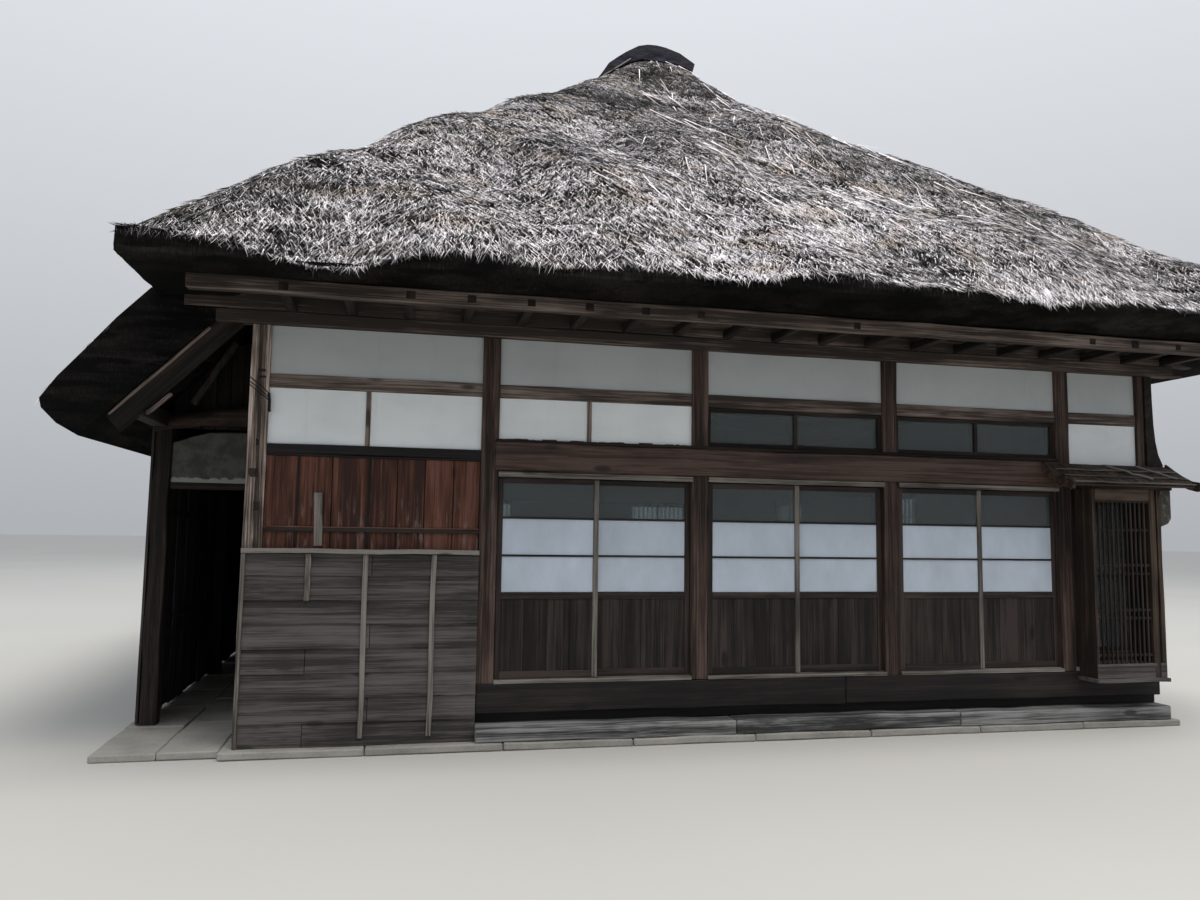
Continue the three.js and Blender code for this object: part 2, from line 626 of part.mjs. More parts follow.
function addLeanTo() {
  const postTop = underApron(LEANTO_OUTER) - LEANTO_POST / 2;
  const posts = LEANTO_POSTS.map((y) => box(
    [LEANTO_OUTER, LEANTO_INNER], [y, y + LEANTO_POST], [FOOTING_TOP + GAP, postTop]));
  const rakes = [rakeTimber([0, RAKE_WIDE]), rakeTimber([DEPTH - RAKE_WIDE, DEPTH])];
  addPiece('leanto_frame', 'darkWood', cut(join([...posts, leantoPlate(), ...rakes]), [headPlate(GAP)]));

  const outer = LEANTO_OUTER - BOARD_THICK;
  const backY = LEANTO_LAST + LEANTO_POST + GAP;
  const height = [FOOTING_TOP + GAP, underApron(outer) - GAP];
  const boards = join([
    box([outer, LEANTO_OUTER - GAP], [LEANTO_START, backY + BOARD_THICK], height),
    box([outer, LEFT_FACE - GAP], [backY, backY + BOARD_THICK], height),
  ]);
  addPiece('leanto_boards', 'greyWood', cut(boards, [leantoPlate(GAP)]));
}

// The porch's back wall, between the lean-to's first post and the left wall
const PORCH_PANEL_Y = [LEANTO_START + 30, LEANTO_START + 110];
const PORCH_PANEL_Z = [2190, 2650];
const TIE_LOG_RADIUS = 85;
const TIE_LOG_Y = LEANTO_START - TIE_LOG_RADIUS - GAP;
const TIE_LOG_ROUTE = [
  [LEANTO_X - 40, TIE_LOG_Y, 2670],
  [-600, TIE_LOG_Y, 2765],
  [LEFT_FACE + HALF_POST, TIE_LOG_Y, 2815],
];

function addPorch() {
  const span = [LEANTO_INNER + GAP, LEFT_FACE + RAIL_FRONT - GAP];
  addPiece('porch_plaster_panel', 'mudPlaster', box(span, PORCH_PANEL_Y, PORCH_PANEL_Z));
  const route = new THREE.CatmullRomCurve3(TIE_LOG_ROUTE.map((point) => new THREE.Vector3(...point)));
  const section = new THREE.Shape();
  section.absarc(0, 0, TIE_LOG_RADIUS, 0, 2 * Math.PI);
  const log = new THREE.ExtrudeGeometry(section, { steps: 8, curveSegments: 8, extrudePath: route });
  const leftWall = box([LEFT_FACE + PANEL_FRONT, WIDTH], [0, DEPTH], [FLOOR_TOP, PLATE_BASE], GAP);
  addPiece('porch_tie_log', 'darkWood', cut(solidOf(log), [leftWall, leantoPlate(GAP)]));
}

// The roof

const LIP_LIFT = 100;
const LIP_LEFT_BASE = 3670;
const LIP_FRONT_RISE = 180;
const LIP_RIGHT_BASE = 3550;
const LIP_DROP_RUN = 1000;
const RIDGE_FLARE = 50;
const RIDGE_FLARE_REACH = 350;
const RIDGE_STUB = 60;
const THATCH_PEAK = 8320;
const HIP_SOFT = 160;

// Distance in from the nearest lip, rounded where two slopes meet
function fromLip(x, y) {
  const sides = [x - ROOF_LEFT, ROOF_RIGHT - x, y - ROOF_FRONT, ROOF_BACK - y];
  const nearest = Math.min(...sides);
  const sum = sides.reduce((total, side) => total + Math.exp((nearest - side) / HIP_SOFT), 0);
  return Math.max(0, nearest - HIP_SOFT * Math.log(sum));
}

function acrossRoof(x) {
  return (x - ROOF_LEFT) / (ROOF_RIGHT - ROOF_LEFT);
}

// Humps and hollows of the weathered reed, as low waves: run along x, run along y, height, start
const WAVES = [
  [1900, 3300, 26, -0.68], [-2400, 2100, 24, 2.76], [3400, -2800, 34, 1.2], [1450, 7000, 23, 2.33],
  [6000, 1600, 28, 3.13], [5000, 5000, 22, -2.01], [-4200, 6500, 8, -2.06], [9000, -3000, 24, 0.97],
  [2600, 1500, 28, 1.25], [-1600, 3600, 9, 2.07],
];

function humps(x, y) {
  return WAVES.reduce((sum, [runX, runY, height, start]) => (
    sum + height * Math.sin(2 * Math.PI * (x / runX + y / runY) + start)), 0);
}

function thatchTop(x, y) {
  const d = fromLip(x, y);
  const lift = LIP_LIFT * acrossRoof(x) * Math.exp(-d / LIP_SIDE);
  const flare = RIDGE_FLARE * Math.exp((d - HALF_SPAN) / RIDGE_FLARE_REACH);
  const height = LIP_TOP + PITCH * d + BULGE * (1 - Math.exp(-d / BULGE_REACH)) + lift + flare;
  return Math.min(THATCH_PEAK, height + humps(x, y));
}

// The lip's lower edge rises along the front from left to right, and hangs lower on the right side
function lipBase(x, y) {
  const fromCorner = Math.min(y - ROOF_FRONT, ROOF_BACK - y, LIP_DROP_RUN);
  const level = LIP_LEFT_BASE + LIP_FRONT_RISE * acrossRoof(x);
  const onRight = ROOF_RIGHT - x < 1;
  return onRight ? level - (level - LIP_RIGHT_BASE) * fromCorner / LIP_DROP_RUN : level;
}

const SLOPE_ROWS = 16;
const SLOPE_COLUMNS = { front: 24, back: 24, left: 28, right: 28 };

// Where a point of each slope stands: u runs along the lip, d is the distance in from it
const slopePlaces = {
  front: (u, d) => [lerp(ROOF_LEFT + d, ROOF_RIGHT - d, u), ROOF_FRONT + d - GAP],
  back: (u, d) => [lerp(ROOF_RIGHT - d, ROOF_LEFT + d, u), ROOF_BACK - d + GAP],
  left: (u, d) => [ROOF_LEFT + d - GAP, lerp(ROOF_BACK - d, ROOF_FRONT + d, u)],
  right: (u, d) => [ROOF_RIGHT - d + GAP, lerp(ROOF_FRONT + d, ROOF_BACK - d, u)],
};

function lerp(from, to, share) {
  return from + (to - from) * share;
}

function slopeHeap(side) {
  const geometry = new THREE.BoxGeometry(1, 1, 1, SLOPE_COLUMNS[side], SLOPE_ROWS, 1);
  const reach = side === 'front' || side === 'back' ? HALF_SPAN - RIDGE_STUB : HALF_SPAN;
  const place = geometry.attributes.position;
  for (let i = 0; i < place.count; i += 1) {
    const row = Math.max(0, place.getY(i) + 0.5);
    const d = reach * row ** 1.5;
    const [x, y] = slopePlaces[side](place.getX(i) + 0.5, d);
    const base = row > 0 ? PURLIN_TOP : lipBase(x, y);
    place.setXYZ(i, x, y, place.getZ(i) > 0 ? thatchTop(x, y) : base);
  }
  return solidOf(geometry);
}

const ATTIC_SINK = 30;

// The space under the roof, as a hipped block that the thatch lies on
function attic(drop = 0) {
  const base = PURLIN_TOP - ATTIC_SINK - drop;
  const inset = SEAT_IN - ATTIC_SINK / PITCH;
  const peak = base + PITCH * (HALF_SPAN - inset);
  const points = [[RIDGE_X, RIDGE_FRONT, peak], [RIDGE_X, RIDGE_BACK, peak]];
  for (const x of [ROOF_LEFT + inset, ROOF_RIGHT - inset]) {
    points.push([x, ROOF_FRONT + inset, base], [x, ROOF_BACK - inset, base]);
  }
  return solidOf(new ConvexGeometry(points.map((point) => new THREE.Vector3(...point))));
}

function apron() {
  const seatX = ROOF_LEFT + SEAT_IN;
  return alongY([
    [ROOF_LEFT + APRON_TUCK, LIP_TOP + APRON_TUCK / 2 + 30],
    [APRON_TIP_X, APRON_TIP_Z],
    [APRON_TIP_X + APRON_CUT[0], APRON_TIP_Z - APRON_CUT[1]],
    [RAKE_FOOT_X, underApron(RAKE_FOOT_X)],
    [RAKE_TOP_X, RAKE_TOP_Z],
    [seatX, underApron(seatX)],
    [seatX + APRON_TUCK / 3, LIP_TOP],
  ], [APRON_START, APRON_END]);
}

// The ridge cap, a hood of bent sheets over the top of the thatch: its bends from left to right

const CAP_FOOT = 7500;
const CAP_TOP = 8385;
const CAP_CLEAR = 9000;
const CAP_SHEET = 50;
const LINING_SHARE = 0.05;
const CAP_BENDS = [
  [3510, 7790], [3600, 7920], [3680, 8050], [3800, 8150], [3920, 8240], [4090, 8345], [4220, 8380],
  [4340, CAP_TOP], [4470, 8370], [4670, 8315], [4885, 8190], [4850, 8060],
];
const CAP_PAST = 380;
const CAP_SPAN = [RIDGE_FRONT - CAP_PAST, RIDGE_BACK + CAP_PAST];

// A run along the ridge whose upper or lower edge is the given line of bends
function alongRidge(bends, height) {
  const [first, last] = [bends[0], bends[bends.length - 1]];
  return alongY([...bends, [last[0], height], [first[0], height]], CAP_SPAN);
}

// One slope, trimmed where it would come up through the hood
function trimmedSlope(side) {
  const lining = CAP_BENDS.slice(0, -1).map(([x, z]) => [lerp(x, RIDGE_X, LINING_SHARE), z - CAP_SHEET]);
  return slopeHeap(side).subtract(alongRidge(lining, CAP_CLEAR));
}

function addThatch() {
  for (const side of Object.keys(slopePlaces)) {
    const slope = trimmedSlope(side).subtract(attic());
    const whole = side === 'left' ? slope.add(apron()) : slope;
    addPiece(`thatch_${side}`, 'thatch', whole.subtract(headPlate(GAP)));
  }
}

function addRidgeCap() {
  const shifts = { front: [0], back: [0], left: [0, 3 * GAP], right: [0, -3 * GAP] };
  const slopes = Object.keys(shifts).flatMap((side) => (
    shifts[side].map((shift) => trimmedSlope(side).translate([shift, 0, GAP]))));
  const meeting = box([RIDGE_X - RIDGE_STUB, RIDGE_X + RIDGE_STUB],
    [RIDGE_FRONT - RIDGE_STUB, RIDGE_BACK + RIDGE_STUB], [CAP_FOOT, THATCH_PEAK - 2 * RIDGE_STUB], GAP);
  addPiece('ridge_cap', 'capBark', cut(alongRidge(CAP_BENDS, CAP_FOOT), [...slopes, meeting]));
}

// Inside the roof: three pairs of leaning rafters on tie beams, and a ridge pole

const RAFTER = 150;
const RAFTER_DEEP = 220;
const TIE_BEAM = 130;
const RAFTER_INSET = 35;
const PAIR_INSET = 200;

function rafterPair(y, peak) {
  const span = [y - RAFTER / 2, y + RAFTER / 2];
  const left = LEFT_FACE + RAFTER_INSET;
  const right = RIGHT_FACE - RAFTER_INSET;
  const tieBeam = box([left, right], span, [BEAM_TOP + GAP, BEAM_TOP + TIE_BEAM]);
  const leaning = [left, 2 * RIDGE_X - left].map((footX) => {
    const foot = peak - PITCH * (RIDGE_X - left);
    return alongY([
      [footX, foot - RAFTER_DEEP],
      [footX, foot],
      [RIDGE_X, peak],
      [RIDGE_X, peak - RAFTER_DEEP],
    ], span);
  });
  return [tieBeam, ...leaning];
}

function addRoofFrame() {
  const peak = PURLIN_TOP + PITCH * (HALF_SPAN - SEAT_IN);
  const places = [RIDGE_FRONT + PAIR_INSET, (RIDGE_FRONT + RIDGE_BACK) / 2, RIDGE_BACK - PAIR_INSET];
  const pole = box([RIDGE_X - RAFTER / 2, RIDGE_X + RAFTER / 2], [RIDGE_FRONT, RIDGE_BACK],
    [peak - RAFTER_DEEP, peak]);
  const above = box([ROOF_LEFT, ROOF_RIGHT], [ROOF_FRONT, ROOF_BACK], [BEAM_TOP + GAP, CAP_TOP]);
  const pieces = places.flatMap((y) => rafterPair(y, peak + 20));
  addPiece('roof_frame', 'darkWood', join([...pieces, pole]).intersect(attic(1)).intersect(above));
}

addFootings();
addFloor();
addFrontFrame();
addEaveFrames();
addFrontPanels();
addClapboards();
addTransoms();
addDoorTrack();
addDoors();
addLatticeBay();
addPentRoof();
addRightWall();
addLeftWall();
addBackWall();
addLeanTo();
addPorch();
addThatch();
addRidgeCap();
addRoofFrame();

export default house;
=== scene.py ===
"""Dresses a thatched timber farmhouse on the frame of its CAD part, in timber, boards, plaster and reed.

Lengths are metres. House coordinates run x along the front from the left corner post, y into the house
from the face of the front posts, and z up from the ground. ORIGIN turns them into the part's own frame.
"""

import math

import bpy
import numpy as np
from mathutils import Matrix, Vector, noise


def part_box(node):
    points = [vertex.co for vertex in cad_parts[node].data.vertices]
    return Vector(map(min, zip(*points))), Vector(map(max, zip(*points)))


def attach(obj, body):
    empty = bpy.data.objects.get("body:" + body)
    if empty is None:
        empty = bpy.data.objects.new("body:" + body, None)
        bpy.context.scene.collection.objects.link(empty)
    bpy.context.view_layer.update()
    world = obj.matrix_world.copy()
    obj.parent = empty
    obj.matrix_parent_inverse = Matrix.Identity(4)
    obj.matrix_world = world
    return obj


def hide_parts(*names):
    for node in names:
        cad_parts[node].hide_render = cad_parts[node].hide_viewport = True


bl_info = {
    "name": "Thatched Farmhouse",
    "version": (1, 0, 0),
    "blender": (4, 5, 0),
    "location": "View3D > Sidebar > Farmhouse",
    "description": "Dresses a thatched timber farmhouse in timber, boards, plaster, glass and reed",
    "category": "Object",
}

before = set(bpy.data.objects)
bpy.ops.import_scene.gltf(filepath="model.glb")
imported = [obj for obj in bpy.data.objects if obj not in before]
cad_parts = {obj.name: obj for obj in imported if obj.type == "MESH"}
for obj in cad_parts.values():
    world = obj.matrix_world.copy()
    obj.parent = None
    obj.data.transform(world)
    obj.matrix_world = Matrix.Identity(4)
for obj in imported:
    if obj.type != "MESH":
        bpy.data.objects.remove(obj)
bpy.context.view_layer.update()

POST = 0.15
HALF_POST = POST / 2
# Frames between two posts stop this far from the posts' centres, half a millimetre short of their faces
BESIDE_POST = HALF_POST + 0.0005
POST_DEPTH = 0.105
BAY = 1.9
FIRST_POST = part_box("front_post_1")
ORIGIN = Vector((FIRST_POST[0].x + HALF_POST, FIRST_POST[0].y, 0.0))


def house_box(node):
    """The lowest and highest corner of a CAD node in house coordinates."""
    low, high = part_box(node)
    return low - ORIGIN, high - ORIGIN


LEFT_FACE = -HALF_POST
RIGHT_FACE = house_box("front_post_6")[1].x
BACK_FACE = house_box("back_wall_panels")[1].y + 0.03
POSTS_X = [0.0, BAY, 2 * BAY, 3 * BAY, 4 * BAY, 4.5 * BAY]
SIDE_POSTS_Y = [BAY, 2 * BAY, 3 * BAY, 4 * BAY, 5 * BAY]
LEAVES = range(1, 7)
RAKE_SLOPE = 1.04
RAKE_TURN = math.atan(RAKE_SLOPE)
INTO_HOUSE = (0, 1, 0)
# Heights that several pieces share
FOOTING_TOP = 0.0605
BOARDS_TOP = 2.449
WALL_TOP = 3.48
PURLIN_Z = (3.58, 3.6895)
ARM_FOOT = 3.592


# Colours and node trees


def linear(code):
    """An sRGB hex colour as linear red, green, blue and alpha."""
    channels = [int(code[i : i + 2], 16) / 255 for i in (1, 3, 5)]
    return tuple(c / 12.92 if c <= 0.04045 else ((c + 0.055) / 1.055) ** 2.4 for c in channels) + (1.0,)


def add(tree, kind, settings=None, sockets=None, stops=None):
    """Adds a node with its settings, its socket values or links, and the stops of its colour ramp.

    Sockets go by name or number. Those of a Map Range are its value, the two ends of what goes in, and the
    two ends of what comes out. Those of a colour Mix are its share at 0 and its two colours at 6 and 7.
    """
    made = tree.nodes.new(kind)
    for name, value in (settings or {}).items():
        setattr(made, name, value)
    for name, value in (sockets or {}).items():
        if isinstance(value, bpy.types.NodeSocket):
            tree.links.new(value, made.inputs[name])
        else:
            made.inputs[name].default_value = value
    for i, (position, tint) in enumerate(stops or []):
        ramp = made.color_ramp.elements
        stop = ramp[i] if i < 2 else ramp.new(position)
        stop.position = position
        stop.color = tint
    return made


def new_finish(name):
    """A finish with its empty node tree and its output, or with None for both once it is made."""
    if name in bpy.data.materials:
        return bpy.data.materials[name], None, None
    finish = bpy.data.materials.new(name)
    finish.use_nodes = True
    finish.node_tree.nodes.clear()
    return finish, finish.node_tree, add(finish.node_tree, "ShaderNodeOutputMaterial")


def stretched_noise(tree, place, scale, detail=4.0, roughness=0.6):
    """Noise on object coordinates, with its own scale along each axis in cells per metre."""
    mapped = add(tree, "ShaderNodeMapping", None, {"Vector": place, "Scale": scale})
    grain = {"Vector": mapped.outputs[0], "Scale": 1.0, "Detail": detail, "Roughness": roughness}
    return add(tree, "ShaderNodeTexNoise", None, grain).outputs[0]


def weighted(tree, total, *shares):
    """Adds measures to a number or a measure, each times its weight."""
    for measure, weight in shares:
        terms = {0: measure, 1: weight, 2: total}
        total = add(tree, "ShaderNodeMath", {"operation": "MULTIPLY_ADD"}, terms).outputs[0]
    return total


def stained(tree, paint, *stains, blend="MIX"):
    """Lays stains over a colour: pattern, levels where it begins and is full, strength and colour."""
    for pattern, (begin, full), strength, colour in stains:
        share = {0: pattern, 1: begin, 2: full, 3: 0.0, 4: strength}
        mask = add(tree, "ShaderNodeMapRange", None, share).outputs[0]
        mix = {"data_type": "RGBA", "blend_type": blend}
        paint = add(tree, "ShaderNodeMix", mix, {0: mask, 6: paint, 7: colour}).outputs[2]
    return paint


def close(tree, output, surface, height=None, depth=0.0, strength=0.0):
    """Shades the surface and joins it to the output, with a bump of the given depth in metres."""
    shader = add(tree, "ShaderNodeBsdfPrincipled", None, surface)
    if height is not None:
        bump = add(tree, "ShaderNodeBump", None, {"Height": height, "Distance": depth, "Strength": strength})
        tree.links.new(bump.outputs[0], shader.inputs["Normal"])
    tree.links.new(shader.outputs[0], output.inputs[0])


# Each timber finish: its roughness, how deep its grain has weathered in mm, and how strongly its grain shows
TIMBERS = {
    "hewn_cedar": (0.82, 1.6, 1.0),
    "corner_cedar": (0.9, 3.0, 1.5),
    "rail_cedar": (0.8, 1.2, 1.0),
    "rake_cedar": (0.9, 1.4, 1.1),
    "lintel_pine": (0.6, 1.4, 1.0),
    "wainscot_cedar": (0.72, 1.6, 0.85),
    "clap_cedar": (0.92, 1.4, 0.65),
    "smoked_timber": (0.8, 1.4, 1.0),
    "door_cedar": (0.65, 0.8, 1.0),
    "door_boards": (0.75, 1.2, 1.2),
    "track_wood": (0.75, 0.8, 0.8),
    "sill_timber": (0.7, 1.2, 1.0),
    "ground_timber": (0.9, 2.2, 1.0),
    "bay_cedar": (0.8, 1.0, 1.0),
}


def shade(name, amount=1.0, bleach=0.0):
    """One of the colour settings, darker or lighter, and partly bleached to grey."""
    base = getattr(bpy.context.scene.farmhouse_colours, name)
    grey = sum(base[:3]) / 3
    mixed = [(c + (grey - c) * bleach) * amount for c in base[:3]]
    return tuple(min(c, 1.0) for c in mixed) + (1.0,)


def shades(name, *levels):
    """Stops for a colour ramp: at each position one of the colour settings times a level."""
    return [(position, shade(name, level)) for position, level in levels]


def timber_finish(kind, axis):
    """Sawn or hewn softwood: matt, soft early wood worn back between dark rings, with long drying cracks."""
    finish, tree, output = new_finish(f"{kind}_{axis}")
    if tree is None:
        return finish
    roughness, depth, contrast = TIMBERS[kind]
    dark, middle, light = shade(kind, 0.26 / contrast), shade(kind), shade(kind, 2.2 * contrast, 0.25)
    along = 0 if axis == "d" else "xyz".index(axis)

    def scale(across, length):
        return [length if i == along else across for i in range(3)]

    place = add(tree, "ShaderNodeTexCoord").outputs["Object"]
    if axis == "d":
        # Down the slope of the lean-to
        turned = {"Vector": place, "Rotation": (0, RAKE_TURN, 0)}
        place = add(tree, "ShaderNodeMapping", None, turned).outputs[0]
    # Grain of about 3 mm is drawn about 12 mm wide, because it is too fine to show in the render
    fibres = stretched_noise(tree, place, scale(85, 1.6), 6, 0.7)
    rings = stretched_noise(tree, place, scale(16, 0.5), 3, 0.55)
    patches = stretched_noise(tree, place, scale(2.2, 1.1), 3)
    tone = add(tree, "ShaderNodeAttribute", {"attribute_name": "tone"}).outputs["Fac"]
    value = weighted(tree, -2.6, (fibres, 2.3), (rings, 1.8), (patches, 1.2), (tone, 0.8))
    stops = [(0.15, dark), (0.5, middle), (0.85, light)]
    ramp = add(tree, "ShaderNodeValToRGB", None, {0: value}, stops)
    dried = {0: stretched_noise(tree, place, scale(38, 0.7), 4, 0.75), 1: 0.36, 2: 0.28, 3: 0.0, 4: 1.0}
    cracks = add(tree, "ShaderNodeMapRange", None, dried).outputs[0]
    spread = add(tree, "ShaderNodeMapping", None, {"Vector": place, "Scale": scale(4.5, 1.6)}).outputs[0]
    knots = add(tree, "ShaderNodeTexVoronoi", None, {"Vector": spread, "Scale": 1.0}).outputs[0]
    paint = stained(tree, ramp.outputs[0], (cracks, (0.0, 1.0), 1.0, dark), (knots, (0.16, 0.09), 0.85, dark))
    if kind == "wainscot_cedar":
        # Splashing rain has bleached flecks into the foot of the boards
        above = add(tree, "ShaderNodeSeparateXYZ", None, {0: place}).outputs["Z"]
        wet = add(tree, "ShaderNodeMapRange", None, {0: above, 1: 2.15, 2: 1.8, 3: 0.0, 4: 0.75}).outputs[0]
        torn = stretched_noise(tree, place, scale(26, 3.5))
        paint = stained(tree, paint, (torn, (0.56, 0.64), wet, shade(kind, 3.2, 0.7)))
    height = weighted(tree, fibres, (cracks, -1.2))
    # Old dry timber shines much less than fresh
    surface = {"Base Color": paint, "Roughness": roughness, "Specular IOR Level": 0.3}
    close(tree, output, surface, height, depth=depth / 1000, strength=0.8)
    return finish


def plaster_finish(kind):
    """Lime or mud plaster: dead matt, faintly trowelled, with rain stains that run down."""
    finish, tree, output = new_finish(f"{kind}_coat")
    if tree is None:
        return finish
    stain = shade(kind, 0.55, 0.3)
    place = add(tree, "ShaderNodeTexCoord").outputs["Object"]
    mottle = stretched_noise(tree, place, (1.6, 1.6, 2.4))
    runs = stretched_noise(tree, place, (9, 9, 0.8), 5, 0.65)
    grit = stretched_noise(tree, place, (70, 70, 70), 5, 0.65)
    paint = stained(tree, shade(kind), (mottle, (0.42, 0.8), 0.3, stain), (runs, (0.58, 0.85), 0.3, stain))
    if kind == "mud_plaster":
        # Its lower edge has flaked away to the pale scratch coat, and damp has left dark blots
        blots = stretched_noise(tree, place, (7, 7, 7), 6, 0.7)
        height = add(tree, "ShaderNodeSeparateXYZ", None, {0: place}).outputs["Z"]
        ragged = weighted(tree, height, (stretched_noise(tree, place, (14, 14, 14)), 0.08))
        foot = house_box("porch_plaster_panel")[0].z
        damp = (blots, (0.42, 0.58), 0.75, shade(kind, 0.4))
        flaked = (ragged, (foot + 0.095, foot + 0.085), 0.8, shade(kind, 3.4))
        paint = stained(tree, paint, damp, flaked)
    depth = 0.006 if kind == "mud_plaster" else 0.0008
    close(tree, output, {"Base Color": paint, "Roughness": 0.95}, grit, depth, strength=0.4)
    return finish


def clear_glass():
    """Old drawn window glass: clear, a little wavy, so its reflections bend."""
    finish, tree, output = new_finish("drawn_glass")
    if tree is None:
        return finish
    place = add(tree, "ShaderNodeTexCoord").outputs["Object"]
    waves = stretched_noise(tree, place, (5, 5, 3), 2, 0.5)
    surface = {"Base Color": linear("#aab4b6"), "Roughness": 0.04, "IOR": 1.3, "Transmission Weight": 0.9}
    close(tree, output, surface, waves, depth=0.004, strength=0.35)
    return finish


def frosted_glass():
    """Ground glass: it scatters the light, so it looks pale blue-grey and hides the room."""
    finish, tree, output = new_finish("ground_glass")
    if tree is None:
        return finish
    place = add(tree, "ShaderNodeTexCoord").outputs["Object"]
    dust = stretched_noise(tree, place, (3, 3, 1.6), 5, 0.65)
    stops = shades("ground_glass", (0.3, 0.85), (0.75, 1.15))
    ramp = add(tree, "ShaderNodeValToRGB", None, {0: dust}, stops)
    surface = {"Base Color": ramp.outputs[0], "Roughness": 0.35, "IOR": 1.5, "Transmission Weight": 0.25}
    grain = stretched_noise(tree, place, (160, 160, 160), 2, 0.5)
    close(tree, output, surface, grain, depth=0.0006, strength=0.3)
    return finish


def stone_finish():
    """Poured and cut footing stone: pale and gritty, with darker blots."""
    finish, tree, output = new_finish("footing_stone")
    if tree is None:
        return finish
    place = add(tree, "ShaderNodeTexCoord").outputs["Object"]
    blots = stretched_noise(tree, place, (2.4, 2.4, 6), 5, 0.65)
    grit = stretched_noise(tree, place, (55, 55, 55), 5, 0.7)
    tone = add(tree, "ShaderNodeAttribute", {"attribute_name": "tone"}).outputs["Fac"]
    value = weighted(tree, -0.4, (blots, 0.9), (tone, 0.4), (grit, 0.5))
    stops = shades("footing_stone", (0.1, 0.42), (0.55, 1.0), (0.95, 1.45))
    ramp = add(tree, "ShaderNodeValToRGB", None, {0: value}, stops)
    close(tree, output, {"Base Color": ramp.outputs[0], "Roughness": 0.93}, grit, depth=0.004, strength=0.6)
    return finish


# Crevices between the courses of reed, in cells per metre
CREVICES = (2.6, 2.6, 15.0)


def crevice_shade(tree, place):
    """Painted shade: from 0 on the reed to -1 in the long gaps between its courses, where shade falls."""
    share = {0: stretched_noise(tree, place, CREVICES, 3.0, 0.5), 1: 0.36, 2: 0.5, 3: -1.0, 4: 0.0}
    return add(tree, "ShaderNodeMapRange", None, share).outputs[0]


def thatch_finish(kind, across):
    """Packed reed seen end on and along: dark between the stems, grey-brown where sun has bleached it."""
    finish, tree, output = new_finish(f"{kind}_{across}")
    if tree is None:
        return finish
    # The cut faces and the soffits are darker copies of the reed: painted shade under the lips, on the
    # apron's face and under the hood
    level = {"reed_slope": 0.8, "reed_cut": 0.3, "reed_soffit": 0.4}[kind]
    place = add(tree, "ShaderNodeTexCoord").outputs["Object"]
    stems = [110, 15, 15] if across == "x" else [15, 110, 15]
    streaks = stretched_noise(tree, place, stems, 6, 0.75)
    courses = stretched_noise(tree, place, (1.4, 1.4, 13))
    patches = stretched_noise(tree, place, (0.9, 0.9, 0.9))
    # The long gaps between the courses are darkened as painted shade
    value = weighted(tree, -1.6, (streaks, 1.8), (courses, 1.4), (patches, 1.0), (crevice_shade(tree, place), 0.5))
    stops = shades("reed", (0.2, 0.1 * level), (0.55, 0.45 * level), (0.9, 1.3 * level))
    ramp = add(tree, "ShaderNodeValToRGB", None, {0: value}, stops)
    surface = {"Base Color": ramp.outputs[0], "Roughness": 1.0, "Specular IOR Level": 0.1}
    close(tree, output, surface, streaks, depth=0.03, strength=1.0)
    return finish


def straw_finish():
    """Single weathered reeds: each one its own grey, brown or bleached yellow, with a faint shine."""
    finish, tree, output = new_finish("weathered_straw")
    if tree is None:
        return finish
    tone = add(tree, "ShaderNodeAttribute", {"attribute_name": "tone"}).outputs["Fac"]
    place = add(tree, "ShaderNodeTexCoord").outputs["Object"]
    patches = stretched_noise(tree, place, (0.8, 0.8, 0.8))
    bands = stretched_noise(tree, place, (0.6, 0.6, 3.0), 3)
    # Painted light: the straws are paler and differ most round a lit patch over the middle of the front lip
    ends = {0: place, 1: PAINTED_LIGHT_PATCH + ORIGIN}
    away = add(tree, "ShaderNodeVectorMath", {"operation": "DISTANCE"}, ends).outputs["Value"]
    spread = add(tree, "ShaderNodeMapRange", None, {0: away, 1: 1.5, 2: 4.2, 3: 1.3, 4: 0.75}).outputs[0]
    tone = weighted(tree, 0.515, (spread, -0.5), (tone, spread))
    # They are darker towards the ridge, where moss has taken hold
    height = add(tree, "ShaderNodeSeparateXYZ", None, {0: place}).outputs["Z"]
    # Painted light: straws within 0.75 m of the lit patch's middle are paler still
    bleached = add(tree, "ShaderNodeMapRange", None, {0: away, 1: 0.25, 2: 0.75, 3: 0.14, 4: 0.0}).outputs[0]
    value = weighted(tree, -0.555, (bands, 0.7), (patches, 0.8), (tone, 1.0), (height, -0.038))
    # Paler in the pool of painted light, and darker as painted shade in the long gaps between the courses
    value = weighted(tree, value, (bleached, 1.0), (crevice_shade(tree, place), 0.2))
    stops = shades("straw", (0.14, 0.02), (0.38, 0.12), (0.52, 0.6), (0.66, 1.6), (0.92, 3.0))
    ramp = add(tree, "ShaderNodeValToRGB", None, {0: value}, stops)
    growth = stretched_noise(tree, place, (1.7, 1.7, 3.4), 5, 0.65)
    moss = (growth, (0.5, 0.66), 0.6, linear("#c8b492"))
    paint = stained(tree, ramp.outputs[0], moss, blend="MULTIPLY")
    close(tree, output, {"Base Color": paint, "Roughness": 0.7})
    return finish


def cap_finish():
    """Painted sheet iron over the ridge: nearly black, a little blue, with pale blue-grey patches laid by
    noise, partly paint gone powdery in the rain and partly painted sheen.
    """
    finish, tree, output = new_finish("ridge_sheet_iron")
    if tree is None:
        return finish
    place = add(tree, "ShaderNodeTexCoord").outputs["Object"]
    chalk_and_sheen = stretched_noise(tree, place, (3, 3, 9), 5, 0.65)
    rust = stretched_noise(tree, place, (6, 6, 6), 5, 0.7)
    stops = shades("ridge_sheet", (0.35, 0.5), (0.55, 1.0), (0.78, 5.0))
    ramp = add(tree, "ShaderNodeValToRGB", None, {0: chalk_and_sheen}, stops)
    paint = stained(tree, ramp.outputs[0], (rust, (0.62, 0.74), 0.7, linear("#2a1d1a")))
    surface = {"Base Color": paint, "Roughness": 0.7, "Specular IOR Level": 0.2}
    creases = stretched_noise(tree, place, (4, 1.5, 7), 3, 0.5)
    close(tree, output, surface, creases, depth=0.05, strength=0.8)
    return finish


